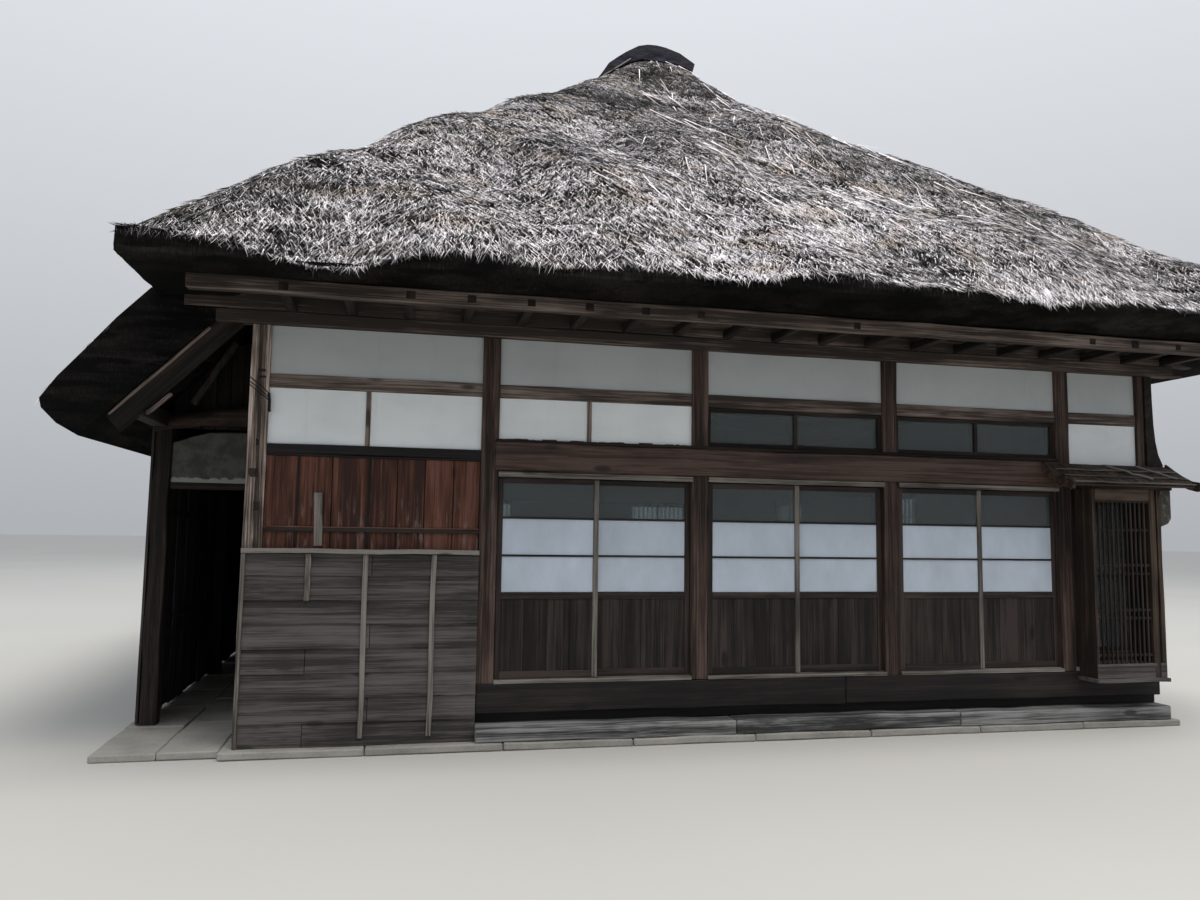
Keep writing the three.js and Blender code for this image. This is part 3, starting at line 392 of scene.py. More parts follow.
def stage_finish():
    """A plain pale studio floor."""
    finish, tree, output = new_finish("studio_floor")
    if tree is None:
        return finish
    place = add(tree, "ShaderNodeTexCoord").outputs["Object"]
    mottle = stretched_noise(tree, place, (0.2, 0.2, 0.2), 2, 0.5)
    stops = [(0.3, linear("#b1b0ac")), (0.8, linear("#b7b6b2"))]
    ramp = add(tree, "ShaderNodeValToRGB", None, {0: mottle}, stops)
    close(tree, output, {"Base Color": ramp.outputs[0], "Roughness": 0.9})
    return finish


# Modelling


def only(piece):
    """Selects one object and makes it active."""
    bpy.ops.object.select_all(action="DESELECT")
    piece.select_set(True)
    bpy.context.view_layer.objects.active = piece


def read_points(mesh):
    """The vertices of a mesh as rows of an array."""
    points = np.empty(len(mesh.vertices) * 3)
    mesh.vertices.foreach_get("co", points)
    return points.reshape(-1, 3)


def write_points(mesh, points):
    """Puts the rows of an array back as the vertices of a mesh."""
    mesh.vertices.foreach_set("co", np.ascontiguousarray(points).ravel())
    mesh.update()


def set_tone(mesh, tone):
    """Gives every point of a mesh one shade between its finish's dark and light ends."""
    attribute = mesh.attributes.new("tone", "FLOAT", "POINT")
    attribute.data.foreach_set("value", np.full(len(mesh.vertices), tone))


def cut_across(made, cuts):
    """Cuts the upright edges of the active primitive, one metre high, into equal lengths."""
    bpy.ops.object.mode_set(mode="EDIT")
    bpy.ops.mesh.select_mode(type="EDGE")
    bpy.ops.mesh.select_all(action="DESELECT")
    bpy.ops.object.mode_set(mode="OBJECT")
    for edge in made.data.edges:
        a, b = [made.data.vertices[i].co for i in edge.vertices]
        edge.select = abs(a.z - b.z) > 0.5
    if cuts:
        bpy.ops.object.mode_set(mode="EDIT")
        bpy.ops.mesh.subdivide(number_cuts=cuts)
        bpy.ops.object.mode_set(mode="OBJECT")


def face_outwards():
    """Turns the faces of the active object outwards."""
    bpy.ops.object.mode_set(mode="EDIT")
    bpy.ops.mesh.select_all(action="SELECT")
    bpy.ops.mesh.normals_make_consistent(inside=False)
    bpy.ops.object.mode_set(mode="OBJECT")


blanks = {}


def blank(cuts):
    """The mesh of a bar one metre long on z, made once for each number of cuts across it."""
    if cuts not in blanks:
        bpy.ops.object.select_all(action="DESELECT")
        bpy.ops.mesh.primitive_cube_add(size=1)
        bar = bpy.context.object
        cut_across(bar, cuts)
        blanks[cuts] = bar.data
        bar.data.use_fake_user = True
        bpy.data.objects.remove(bar)
    return blanks[cuts]


# How a bar lies when its length runs along x, y or z: its turn, and the order of its sizes
LAID = (
    (Matrix(((0, 0, 1), (0, 1, 0), (-1, 0, 0))), (2, 1, 0)),
    (Matrix(((1, 0, 0), (0, 0, 1), (0, -1, 0))), (0, 2, 1)),
    (Matrix.Identity(3), (0, 1, 2)),
)


class Work:
    """Collects the parts of one piece, then joins them, softens their edges and hands the piece over."""

    def __init__(self, name, seed):
        self.name = name
        self.dice = np.random.default_rng(seed)
        self.parts = []

    def take(self, mesh, finish, tone):
        """Keeps a mesh as one part of the piece, with a tone of its own unless one is given."""
        set_tone(mesh, self.dice.uniform(0.3, 0.7) if tone is None else tone)
        mesh.materials.append(finish)
        part = bpy.data.objects.new(self.name, mesh)
        bpy.context.collection.objects.link(part)
        self.parts.append(part)
        return part

    def bar(self, matrix, size, finish, tone=None, cuts=4, wander=0.002):
        """A bar of the given size, its length on the matrix's z, a little uneven like old sawn wood."""
        mesh = blank(cuts).copy()
        points = read_points(mesh)
        rings = np.rint((points[:, 2] + 0.5) * (cuts + 1)).astype(int)
        points = points * np.array(size)
        points[:, :2] += self.dice.normal(0, wander, (cuts + 2, 2))[rings]
        points[:, :2] *= 1 + self.dice.normal(0, wander * 2, (cuts + 2, 1))[rings]
        points = np.c_[points, np.ones(len(points))] @ np.array(matrix).T
        write_points(mesh, points[:, :3])
        return self.take(mesh, finish, tone)

    def block(self, x, y, z, finish, tone=None, cuts=None, wander=0.002):
        """A bar that fills the box between two x, two y and two z, its grain along the longest side."""
        low = Vector((x[0], y[0], z[0]))
        size = Vector((x[1], y[1], z[1])) - low
        along = max(range(3), key=lambda i: size[i])
        turn, order = LAID[along]
        matrix = Matrix.Translation(low + size / 2) @ turn.to_4x4()
        if isinstance(finish, str):
            finish = timber_finish(finish, "xyz"[along])
        cuts = max(1, min(8, round(size[along] / 0.6))) if cuts is None else cuts
        return self.bar(matrix, [size[i] for i in order], finish, tone, cuts, wander)

    def strut(self, start, end, wide, deep, finish, up=(0, 0, 1), tone=None, cuts=4, wander=0.002):
        """A bar between two points, wide across and deep along the direction nearest to up."""
        start, end = Vector(start), Vector(end)
        along = (end - start).normalized()
        side = Vector(up).cross(along).normalized()
        over = along.cross(side)
        matrix = Matrix((side, over, along)).transposed().to_4x4()
        matrix.translation = (start + end) / 2
        if isinstance(finish, str):
            finish = timber_finish(finish, "xyz"[max(range(3), key=lambda i: abs(along[i]))])
        return self.bar(matrix, (wide, deep, (end - start).length), finish, tone, cuts, wander)

    def prism(self, outline, axis, span, finish, tone=None, cuts=0, wander=0.0):
        """An outline in the two other axes, in their order, drawn out along one axis."""
        count = len(outline)
        bpy.ops.object.select_all(action="DESELECT")
        bpy.ops.mesh.primitive_cylinder_add(vertices=count, radius=1, depth=1, end_fill_type="NGON")
        made = bpy.context.object
        cut_across(made, cuts)
        points = read_points(made.data)
        corner = np.rint(np.arctan2(points[:, 0], points[:, 1]) / (2 * math.pi / count)).astype(int) % count
        share = points[:, 2] + 0.5
        rings = np.rint(share * (cuts + 1)).astype(int)
        flat = np.array(outline, dtype=float)[corner]
        flat += self.dice.normal(0, wander, (cuts + 2, 2))[rings] if wander else 0
        columns = [flat[:, 0], flat[:, 1]]
        columns.insert("xyz".index(axis), span[0] + (span[1] - span[0]) * share)
        write_points(made.data, np.stack(columns, axis=1))
        face_outwards()
        mesh = made.data
        bpy.data.objects.remove(made)
        if isinstance(finish, str):
            finish = timber_finish(finish, axis)
        return self.take(mesh, finish, tone)

    def done(self, replaces=(), body="house", bevel=None):
        if bevel is None:
            bevel = bpy.context.scene.farmhouse_sizes.edge
        bpy.ops.object.select_all(action="DESELECT")
        for part in self.parts:
            part.select_set(True)
        piece = self.parts[0]
        bpy.context.view_layer.objects.active = piece
        if len(self.parts) > 1:
            bpy.ops.object.join()
        write_points(piece.data, read_points(piece.data) + np.array(ORIGIN))
        if bevel:
            soften = piece.modifiers.new("soft_edges", "BEVEL")
            soften.width = bevel
            soften.segments = 1
            soften.limit_method = "ANGLE"
            soften.angle_limit = math.radians(40)
            bpy.ops.object.modifier_apply(modifier=soften.name)
        bpy.ops.object.shade_smooth_by_angle(angle=math.radians(35))
        return declare(piece, self.name, replaces, body)


def declare(piece, name, replaces=(), body="house"):
    """Names a finished piece, hangs it on the empty of its body, and hides the CAD nodes that it stands for.
    """
    piece.name = name
    piece.data.name = name
    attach(piece, body)
    if replaces:
        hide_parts(*replaces)
    return piece


def dress(node, finish):
    """Gives a CAD node that keeps its shape its finish."""
    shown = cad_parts[node]
    for place in shown.material_slots:
        place.material = finish


def evenly(start, end, width):
    """Equal shares of a span, each as near to the given width as it divides."""
    count = max(1, round((end - start) / width))
    step = (end - start) / count
    return [(start + i * step, start + (i + 1) * step) for i in range(count)]


# Sizes and colours that a user would change


def tint(name, description, code):
    """A colour setting whose default is an sRGB hex value."""
    return bpy.props.FloatVectorProperty(
        name=name, description=description, subtype="COLOR", size=4, min=0.0, max=1.0, default=linear(code)
    )


def length(name, description, default, low, high):
    """A length setting in metres."""
    return bpy.props.FloatProperty(
        name=name, description=description, default=default, min=low, max=high, unit="LENGTH"
    )


def how_many(name, description, default, high):
    """A setting for how many there are."""
    return bpy.props.IntProperty(name=name, description=description, default=default, min=0, max=high)


class FarmhouseColours(bpy.types.PropertyGroup):
    """The middle colour of each finish."""

    hewn_cedar: tint("Posts", "Squared posts and side timbers", "#3d2f29")
    corner_cedar: tint("Corner post", "The weathered post at the left corner", "#75685f")
    rail_cedar: tint("Rails", "Rails and thin studs between the plaster panels", "#5c5049")
    rake_cedar: tint("Rake timbers", "Broad slanting timbers of the lean-to", "#19130f")
    lintel_pine: tint("Lintel", "The big beam over the doors", "#35251e")
    wainscot_cedar: tint("Wall boards", "Red-brown upright boards", "#502d1f")
    clap_cedar: tint("Lapped boards", "Grey lapped boards and lean-to boards", "#4b4646")
    smoked_timber: tint("Eave timbers", "Smoke-dark timbers under the eaves", "#1e1713")
    door_cedar: tint("Door frames", "Stiles, rails and bars of the doors", "#261c18")
    door_boards: tint("Door boards", "Boarded lower panels of the doors", "#1f1815")
    track_wood: tint("Door track", "Worn track and head strip", "#5f5a54")
    sill_timber: tint("Sill", "Nearly black sill beam and black rail", "#171211")
    ground_timber: tint("Foundation timber", "Silver-grey timber near the ground", "#5b5b5b")
    bay_cedar: tint("Lattice bay", "Brown boards of the bay and pent roof", "#3a2d24")
    lime_plaster: tint("Plaster", "White lime plaster", "#d9dee0")
    # Painted shade: the plaster under the eaves is the white lime plaster made grey for the shade of the deep
    # eaves; it is not smoke-stained
    eave_plaster: tint("Plaster under the eaves", "Lime plaster greyed by smoke", "#a9adae")
    mud_plaster: tint("Mud plaster", "Grey mud plaster of the porch", "#50524f")
    ground_glass: tint("Ground glass", "Frosted panes of the doors", "#c4cfdd")
    footing_stone: tint("Footing", "Footing stones", "#8d8b85")
    # Kept darker than the straws that lie on it: painted shade in the gaps between the straws
    reed: tint("Reed", "Packed reed of the slopes", "#4a4543")
    straw: tint("Straw", "Weathered straws that lie on the slopes", "#9b989b")
    ridge_sheet: tint("Ridge hood", "Painted sheet over the ridge", "#0e0e1e")


class FarmhouseSizes(bpy.types.PropertyGroup):
    """Sizes of the details."""

    edge: length("Worn edge", "Width of the worn edges of plain timbers", 0.004, 0.0, 0.02)
    board: length("Board width", "Width of an upright wall board", 0.2, 0.08, 0.5)
    lump: length("Thatch lumps", "Height of the lumps in the thatch", 0.03, 0.0, 0.1)
    straw_length: length("Straw length", "Length of a straw in the mat", 0.095, 0.05, 0.8)
    straw_width: length("Straw width", "Width of a straw, drawn wider than the real reed", 0.009, 0.002, 0.03)
    front_straws: how_many("Front straws", "Straws on each third of the front slope", 40000, 48000)
    side_straws: how_many("Other straws", "Straws on each other slope", 24000, 48000)
    loose_straws: how_many("Loose straws", "Long pale straws on the front slope", 150, 2000)


# The front frame


def node_names(stem, numbers):
    """CAD node names of a numbered run."""
    return [f"{stem}_{number}" for number in numbers]


# How long the stones of each footing are, run by run
STONE_LENGTHS = {"front": (1.15,), "back": (1.15,), "right": (1.2,), "left": (1.2, 0.95, 1.1)}


class FARMHOUSE_OT_footings(bpy.types.Operator):
    """Lays the footing stones under the four walls and the lean-to"""

    bl_idname = "farmhouse.footings"
    bl_label = "Footings"

    def execute(self, context):
        boxes = {side: house_box(f"footing_{side}") for side in STONE_LENGTHS}
        strips = {side: [((low.x, high.x), (low.y, high.y))] for side, (low, high) in boxes.items()}
        # The left footing runs under the wall, under the lean-to and across between them
        wall, (outer, inner), along = boxes["front"][0].x, *strips["left"][0]
        under_wall = ((wall, inner), strips["right"][0][1])
        strips["left"] = [under_wall, ((outer, -0.62), along), ((-0.615, wall - 0.002), along)]
        for seed, (side, lengths) in enumerate(STONE_LENGTHS.items()):
            low, high = boxes[side]
            work = Work(f"stones_{side}", 10 + seed)
            for (x, y), size in zip(strips[side], lengths):
                for start, end in evenly(*(x if side in ("front", "back") else y), size):
                    stone = (start + 0.004, end - 0.004)
                    place = (stone, y) if side in ("front", "back") else (x, stone)
                    work.block(*place, (low.z, high.z), stone_finish(), cuts=3, wander=0.003)
            work.done([f"footing_{side}"], bevel=0.01)
        return {"FINISHED"}


class FARMHOUSE_OT_front_frame(bpy.types.Operator):
    """Sets up the front posts, rails, lintel, sill and foundation timber"""

    bl_idname = "farmhouse.front_frame"
    bl_label = "Front frame"

    def execute(self, context):
        work = Work("front_posts", 20)
        low, high = house_box("front_post_1")
        for i, x in enumerate(POSTS_X):
            kind = "corner_cedar" if i == 0 else "hewn_cedar"
            post = (x - HALF_POST, x + HALF_POST)
            work.block(post, (0, POST_DEPTH), (low.z, high.z), kind, cuts=7, wander=0.0018)
        # Old wire wound round the corner post, and the thick end that hangs from it
        for z in (3.035, 3.0, 2.975):
            turn = ((-0.078, -0.004, z), (0.078, -0.004, z - 0.13))
            work.strut(*turn, 0.008, 0.008, "smoked_timber", up=INTO_HOUSE, tone=0.5)
        tail = ((0.076, -0.006, 2.91), (0.084, -0.006, 2.75))
        work.strut(*tail, 0.022, 0.02, "sill_timber", up=INTO_HOUSE, tone=0.2)
        # The hole in its face, drawn as a black block of painted shade, and its knots
        hole = ((-0.012, 0.014), (-0.001, 0.01), (2.455, 2.53))
        work.block(*hole, "sill_timber", tone=0.0, cuts=2, wander=0.003)
        for x, z, wide in ((0.015, 3.07, 0.03), (-0.015, 2.245, 0.036), (0.02, 1.98, 0.025)):
            knot = ((x - wide, x + wide), (-0.0015, 0.01), (z - 0.04, z + 0.04))
            work.block(*knot, "smoked_timber", tone=0.9, cuts=3, wander=0.005)
        numbers = range(1, len(POSTS_X) + 1)
        work.done(node_names("front_post", numbers), bevel=0.008)

        low, high = house_box("front_mid_rail")
        work = Work("mid_rails", 21)
        for start, end in zip(POSTS_X, POSTS_X[1:]):
            work.block((start + 0.07, end - 0.07), (low.y, high.y), (low.z, high.z), "rail_cedar")
        work.done(["front_mid_rail"])

        low, high = house_box("door_lintel_beam")
        work = Work("lintel", 22)
        whole, face, back = (low.x, high.x), (low.y, high.y), (low.y + 0.014, high.y)
        work.block(whole, face, (low.z, high.z - 0.03), "lintel_pine", cuts=12, wander=0.003)
        work.block(whole, back, (high.z - 0.032, high.z), "smoked_timber", cuts=10)
        work.done(["door_lintel_beam"], bevel=0.012)

        low, high = house_box("front_sill_beam")
        work = Work("sill", 23)
        work.block((low.x, 1.83), (0.002, high.y), (low.z, high.z), "sill_timber")
        for start, end in [(1.825, 5.2), (5.204, high.x)]:
            work.block((start, end), (low.y, high.y), (low.z, high.z), "sill_timber", cuts=8, wander=0.003)
        work.done(["front_sill_beam"], bevel=0.01)

        low, high = house_box("front_foundation_timber")
        work = Work("foundation_timber", 24)
        work.block((low.x, 1.83), (0.002, 0.16), (low.z, 0.19), "ground_timber")
        for start, end in [(1.825, 4.1), (4.106, 6.3), (6.306, high.x)]:
            work.block((start, end), (low.y, 0.16), (low.z, 0.19), "ground_timber", cuts=7, wander=0.004)
        work.block((low.x, high.x), (0.06, 0.16), (0.186, high.z), "sill_timber")
        work.done(["front_foundation_timber"], bevel=0.008)
        return {"FINISHED"}


class FARMHOUSE_OT_eaves(bpy.types.Operator):
    """Lays the head plate, wall beam, purlins and arms under the front and back lips"""

    bl_idname = "farmhouse.eaves"
    bl_label = "Eave timbers"

    def execute(self, context):
        low, high = house_box("front_eave_frame")
        work = Work("front_eaves", 30)
        hewn = {"cuts": 14, "wander": 0.003}
        work.block((-0.36, 8.91), (-0.04, 0.076), (WALL_TOP, 3.59), "rail_cedar", tone=0.15, **hewn)
        work.block((low.x, high.x), (-0.034, 0.08), (3.593, 3.748), "rail_cedar", tone=0.05, **hewn)
        work.block((low.x + 0.05, high.x), (0.082, high.y), (3.52, 3.67), "smoked_timber", **hewn)
        self.arms_and_purlin(work, (low.y, 0.08), (low.y, low.y + 0.11))
        work.done(["front_eave_frame"], bevel=0.008)

        low, high = house_box("back_eave_frame")
        work = Work("back_eaves", 31)
        self.arms_and_purlin(work, (low.y, high.y), (high.y - 0.11, high.y))
        work.done(["back_eave_frame"], bevel=0.008)
        return {"FINISHED"}

    def arms_and_purlin(self, work, reach, purlin):
        """Square arms, four to a bay, and the purlin that they carry."""
        work.block((-0.45, 8.92), purlin, PURLIN_Z, "rail_cedar", tone=0.35, cuts=16, wander=0.004)
        arms, spacing = 19, BAY / 4
        for i in range(arms):
            x = spacing * (i + 0.5)
            work.block((x - 0.04, x + 0.04), reach, (ARM_FOOT, 3.664), "smoked_timber", cuts=2)


class FARMHOUSE_OT_front_plaster(bpy.types.Operator):
    """Plasters the front panels and sets the thin studs in them"""

    bl_idname = "farmhouse.front_plaster"
    bl_label = "Front plaster"

    def execute(self, context):
        # The upper row takes the greyed plaster, as painted shade under the eaves
        dress("front_plaster_upper", plaster_finish("eave_plaster"))
        for node in ("front_plaster_lower", "front_plaster_corner"):
            dress(node, plaster_finish("lime_plaster"))
        work = Work("panel_studs", 40)
        for x in (0.874, 2.774):
            work.block((x - 0.02, x + 0.02), (0.02, 0.045), (2.495, 2.962), "rail_cedar", tone=0.75)
        # A thin wavy line low in the plaster over the first doors
        for i in range(14):
            start, top = 1.98 + 0.125 * i, 2.604 + 0.006 * math.sin(i * 2.7)
            work.block((start, start + 0.13), (0.027, 0.033), (2.597, top), "track_wood", tone=0.4, cuts=2)
        work.done()
        return {"FINISHED"}


class FARMHOUSE_OT_front_boards(bpy.types.Operator):
    """Boards the left bay: upright red boards over lapped grey ones"""

    bl_idname = "farmhouse.front_boards"
    bl_label = "Front boards"

    def execute(self, context):
        low, high = house_box("front_wainscot_boards")
        top = 2.4
        work = Work("wainscot", 50)
        work.block((low.x, high.x), (0.052, high.y), (low.z, top), "sill_timber", cuts=2)
        seams = [low.x, 0.326, 0.6, 0.9, 1.13, 1.36, 1.6, high.x]
        for start, end in zip(seams, seams[1:]):
            deep = (0.03 + work.dice.uniform(0.0, 0.006), 0.056)
            board = ((start + 0.003, end - 0.003), deep, (low.z, top))
            work.block(*board, "wainscot_cedar", cuts=5, wander=0.0015)
        for x in (0.326, 0.9):
            work.block((x - 0.008, x + 0.008), (0.02, 0.036), (1.66, top), "sill_timber", tone=0.6, cuts=3)
        # A dark batten with a thin red strip on it, and the black rail over the boards in two steps, the
        # lower step a darker strip of painted shadow under the rail
        whole = (low.x, high.x)
        for deep, z, kind, tone in (
            ((0.01, 0.036), (1.776, 1.812), "smoked_timber", 0.6),
            ((0.014, 0.036), (1.814, 1.824), "wainscot_cedar", 0.9),
            ((low.y, 0.075), (top, 2.418), "sill_timber", 0.2),
            ((low.y - 0.008, 0.075), (2.42, high.z), "sill_timber", 0.4),
        ):
            work.block(whole, deep, z, kind, tone=tone)
        slat = ((0.512, 0.02, 1.66), (0.498, 0.004, 2.1))
        work.strut(*slat, 0.066, 0.02, "track_wood", up=INTO_HOUSE, tone=0.9)
        work.done(["front_wainscot_boards"], bevel=0.003)

        low, high = house_box("front_clapboards")
        work = Work("lapped_boards", 51)
        left, head_z = LEFT_FACE + 0.005, 1.6
        courses = evenly(low.z, 1.428, 0.195) + [(1.428, head_z)]
        for i, (base, head) in enumerate(courses):
            joint = 0.95 + 0.5 * ((i * 7) % 3 - 1)
            for span in ((left + 0.03, joint - 0.002), (joint + 0.002, high.x)):
                lip = work.dice.uniform(-0.004, 0.003)
                section = [(-0.001, base), (-0.05 + lip, base - 0.008), (-0.052 + lip, base + 0.004)]
                section += [(-0.034, head), (-0.001, head)]
                work.prism(section, "x", span, "clap_cedar", cuts=4, wander=0.0015)
        # The end strip, the upright strips and the ledge
        work.block((left, left + 0.034), (-0.066, -0.001), (low.z, head_z), "track_wood", tone=0.6, cuts=6)
        for x, foot in ((0.443, 1.22), (0.9, 0.12), (1.45, 0.12)):
            strip = ((x - 0.021, x + 0.021), (-0.066, -0.046), (foot, head_z))
            work.block(*strip, "track_wood", tone=0.7, cuts=4, wander=0.003)
        ledge = ((left, high.x), (low.y, -0.001), (head_z + 0.002, high.z))
        work.block(*ledge, "track_wood", tone=0.8, cuts=6, wander=0.003)
        work.done(["front_clapboards"], bevel=0.003)
        return {"FINISHED"}


class FARMHOUSE_OT_transoms(bpy.types.Operator):
    """Frames and glazes the windows over the doors"""

    bl_idname = "farmhouse.transoms"
    bl_label = "Transoms"

    def execute(self, context):
        low, high = house_box("transom_frame")
        bar, deep = 0.038, (low.y, high.y)
        work = Work("transoms", 60)
        for first, last in zip(POSTS_X[2:4], POSTS_X[3:5]):
            left, right = first + BESIDE_POST, last - BESIDE_POST
            for z in ((low.z, low.z + bar), (high.z - bar, high.z)):
                work.block((left, right), deep, z, "smoked_timber", tone=0.6)
            for start in (left, (left + right - bar) / 2, right - bar):
                work.block((start, start + bar), (low.y + 0.002, high.y), (low.z, high.z), "smoked_timber")
        work.done(["transom_frame"])
        for node in node_names("transom_glass", (1, 2)):
            dress(node, clear_glass())
        return {"FINISHED"}


# The middles of the two bars between a leaf's three panes
PANE_BARS_Z = (1.597, 1.921)


class FARMHOUSE_OT_doors(bpy.types.Operator):
    """Makes the six sliding doors with their panes, their track and the head strip"""

    bl_idname = "farmhouse.doors"
    bl_label = "Sliding doors"

    def execute(self, context):
        for number in LEAVES:
            self.leaf(number)
        self.track()
        return {"FINISHED"}

    def leaf(self, number):
        """One leaf: frame, bars, boarded panel and three panes, the top one clear."""
        low, high = house_box(f"door_leaf_{number}")
        glass_low, glass_high = house_box(f"door_glass_{number}")
        stile, front, back = 0.045, low.y, high.y
        inside = (low.x + stile, high.x - stile)
        # The leaves in the outer track are worn pale along their right stile
        edge = "track_wood" if number % 2 else "door_cedar"
        work = Work(f"leaf_frame_{number}", 70 + number)

        def bar(x, y, z, kind="door_cedar", **more):
            work.block(x, y, z, kind, wander=0.0, **more)

        bar((low.x, inside[0]), (front, back), (low.z, high.z), cuts=3)
        bar((inside[1], high.x), (front, back), (low.z, high.z), edge, tone=0.55, cuts=3)
        for z in ((low.z, low.z + 0.06), (glass_low.z - 0.06, glass_low.z), (high.z - stile, high.z)):
            bar(inside, (front + 0.001, back - 0.001), z, cuts=2)
        for z in PANE_BARS_Z:
            bar(inside, (front + 0.001, front + 0.0125), (z - 0.009, z + 0.009), tone=0.3)
        for start, end in evenly(*inside, 0.2):
            deep = (front + 0.009 + work.dice.uniform(0, 0.002), back - 0.009)
            z = (low.z + 0.058, glass_low.z - 0.058)
            bar((start + 0.001, end - 0.001), deep, z, "door_boards", cuts=3)
        work.done([f"door_leaf_{number}"], f"leaf_{number}", bevel=0.002)

        work = Work(f"leaf_panes_{number}", 80 + number)
        seams = [glass_low.z] + [z + side for z in PANE_BARS_Z for side in (-0.009, 0.009)] + [glass_high.z]
        pane = ((glass_low.x, glass_high.x), (glass_low.y, glass_high.y))
        for i, finish in enumerate([frosted_glass(), frosted_glass(), clear_glass()]):
            work.block(*pane, (seams[2 * i], seams[2 * i + 1]), finish, cuts=0, wander=0.0)
        work.done([f"door_glass_{number}"], f"leaf_{number}", bevel=0)

    def track(self):
        """The worn double track on the sill and the grooved strip over the doors."""
        work = Work("track", 90)
        low, high = house_box("door_track")
        strip_low, strip_high = house_box("door_head_strip")
        head = Work("head_strip", 91)
        for first, last in zip(POSTS_X[1:4], POSTS_X[2:5]):
            span = (first + BESIDE_POST, last - BESIDE_POST)
            work.block(span, (low.y, high.y), (low.z, 0.5515), "track_wood", cuts=4, wander=0.001)
            for y in (0.024, 0.062):
                work.block(span, (y, y + 0.006), (0.551, high.z), "track_wood", tone=0.8, wander=0.0)
            # The deep part of the head strip, and its front edge
            back, front = (strip_low.y + 0.01, strip_high.y), (strip_low.y, strip_low.y + 0.03)
            head.block(span, back, (strip_low.z + 0.014, strip_high.z), "track_wood", tone=0.2, wander=0.0)
            head.block(span, front, (strip_low.z, strip_high.z - 0.006), "track_wood", tone=0.6, wander=0.001)
        work.done(["door_track"], bevel=0.0015)
        head.done(["door_head_strip"], bevel=0.002)


# The lattice bay and its roof


class FARMHOUSE_OT_lattice_bay(bpy.types.Operator):
    """Makes the lattice bay at the right corner with its head board, shelf and side boards"""

    bl_idname = "farmhouse.lattice_bay"
    bl_label = "Lattice bay"

    def execute(self, context):
        low, high = house_box("lattice_bay")
        work = Work("lattice", 100)
        # The span of the lattice, the bay's right face, and the edges of the two uprights between them
        inside, right = (low.x + 0.03, 8.337), 8.476
        post_edge, side_edge = inside[1] + 0.069, right - 0.046
        upright = ((low.y + 0.004, high.y), (low.z + 0.03, high.z))
        for x in ((low.x, inside[0]), (inside[1], post_edge), (side_edge, right)):
            work.block(x, *upright, "bay_cedar", tone=0.3, cuts=4)
        shelf = ((low.x - 0.02, right + 0.01), (low.y - 0.03, high.y), (low.z, low.z + 0.035))
        work.block(*shelf, "clap_cedar", tone=0.7, cuts=3)
        foot_board = ((low.x, right), (low.y, high.y), (low.z + 0.036, 0.62))
        work.block(*foot_board, "clap_cedar", tone=0.45, cuts=3)
        work.block(inside, (low.y, low.y + 0.022), (2.19, high.z), "bay_cedar", tone=0.75, cuts=3)
        work.block(inside, (low.y + 0.006, low.y + 0.03), (2.165, 2.192), "smoked_timber", tone=0.7)
        gaps = 12
        step = (inside[1] - inside[0]) / gaps
        for i in range(1, gaps):
            x = inside[0] + i * step
            bar = ((x - 0.009, x + 0.009), (low.y + 0.008, low.y + 0.026), (0.6, 2.2))
            work.block(*bar, "smoked_timber", cuts=2, wander=0.001)
        for z in (0.7, 1.05, 1.13, 1.48, 1.56, 1.9):
            bar = (inside, (low.y + 0.02, low.y + 0.04), (z - 0.012, z + 0.012))
            work.block(*bar, "smoked_timber", cuts=1, wander=0.001)
        recess = ((post_edge, side_edge), (low.y + 0.03, high.y), (low.z + 0.03, high.z))
        work.block(*recess, "smoked_timber", tone=0.1)
        # The board that stands out beside the bay under the end of the pent roof
        outer = right + 0.117
        board = [(right, 2.3), (outer, 2.3), (outer, 2.02), (right + 0.08, 1.97), (right, 1.94)]
        work.prism(board, "y", (low.y + 0.002, low.y + 0.022), "track_wood", tone=0.3)
        work.done(["lattice_bay"], bevel=0.002)

        dress("corner_window_glass", clear_glass())
        work = Work("corner_window", 101)
        for x in ((7.736, 7.786), (8.364, 8.414)):
            work.block(x, (0.034, 0.11), (0.702, 2.198), "smoked_timber", cuts=3)
        for x, top in (((7.677, 7.737), 2.3), ((8.413, 8.473), 2.3), ((7.738, 8.412), 0.7)):
            work.block(x, (0.014, 0.04), (0.56, top), "smoked_timber", cuts=3)
        # The curved board that closes the corner over the pent roof
        curved = [(8.56, 2.52), (8.748, 2.53), (8.748, 2.57), (8.7, 2.67), (8.672, 2.8), (8.655, 2.98)]
        curved += [(8.648, 3.22), (8.645, 3.475), (8.56, 3.475)]
        work.prism(curved, "y", (-0.028, -0.001), "smoked_timber", tone=0.4)
        for back, z in ((0.11, (0.702, 0.745)), (0.058, (1.43, 1.46)), (0.11, (2.155, 2.198))):
            work.block((7.786, 8.364), (0.034, back), z, "smoked_timber", cuts=2)
        work.done(bevel=0.002)
        return {"FINISHED"}


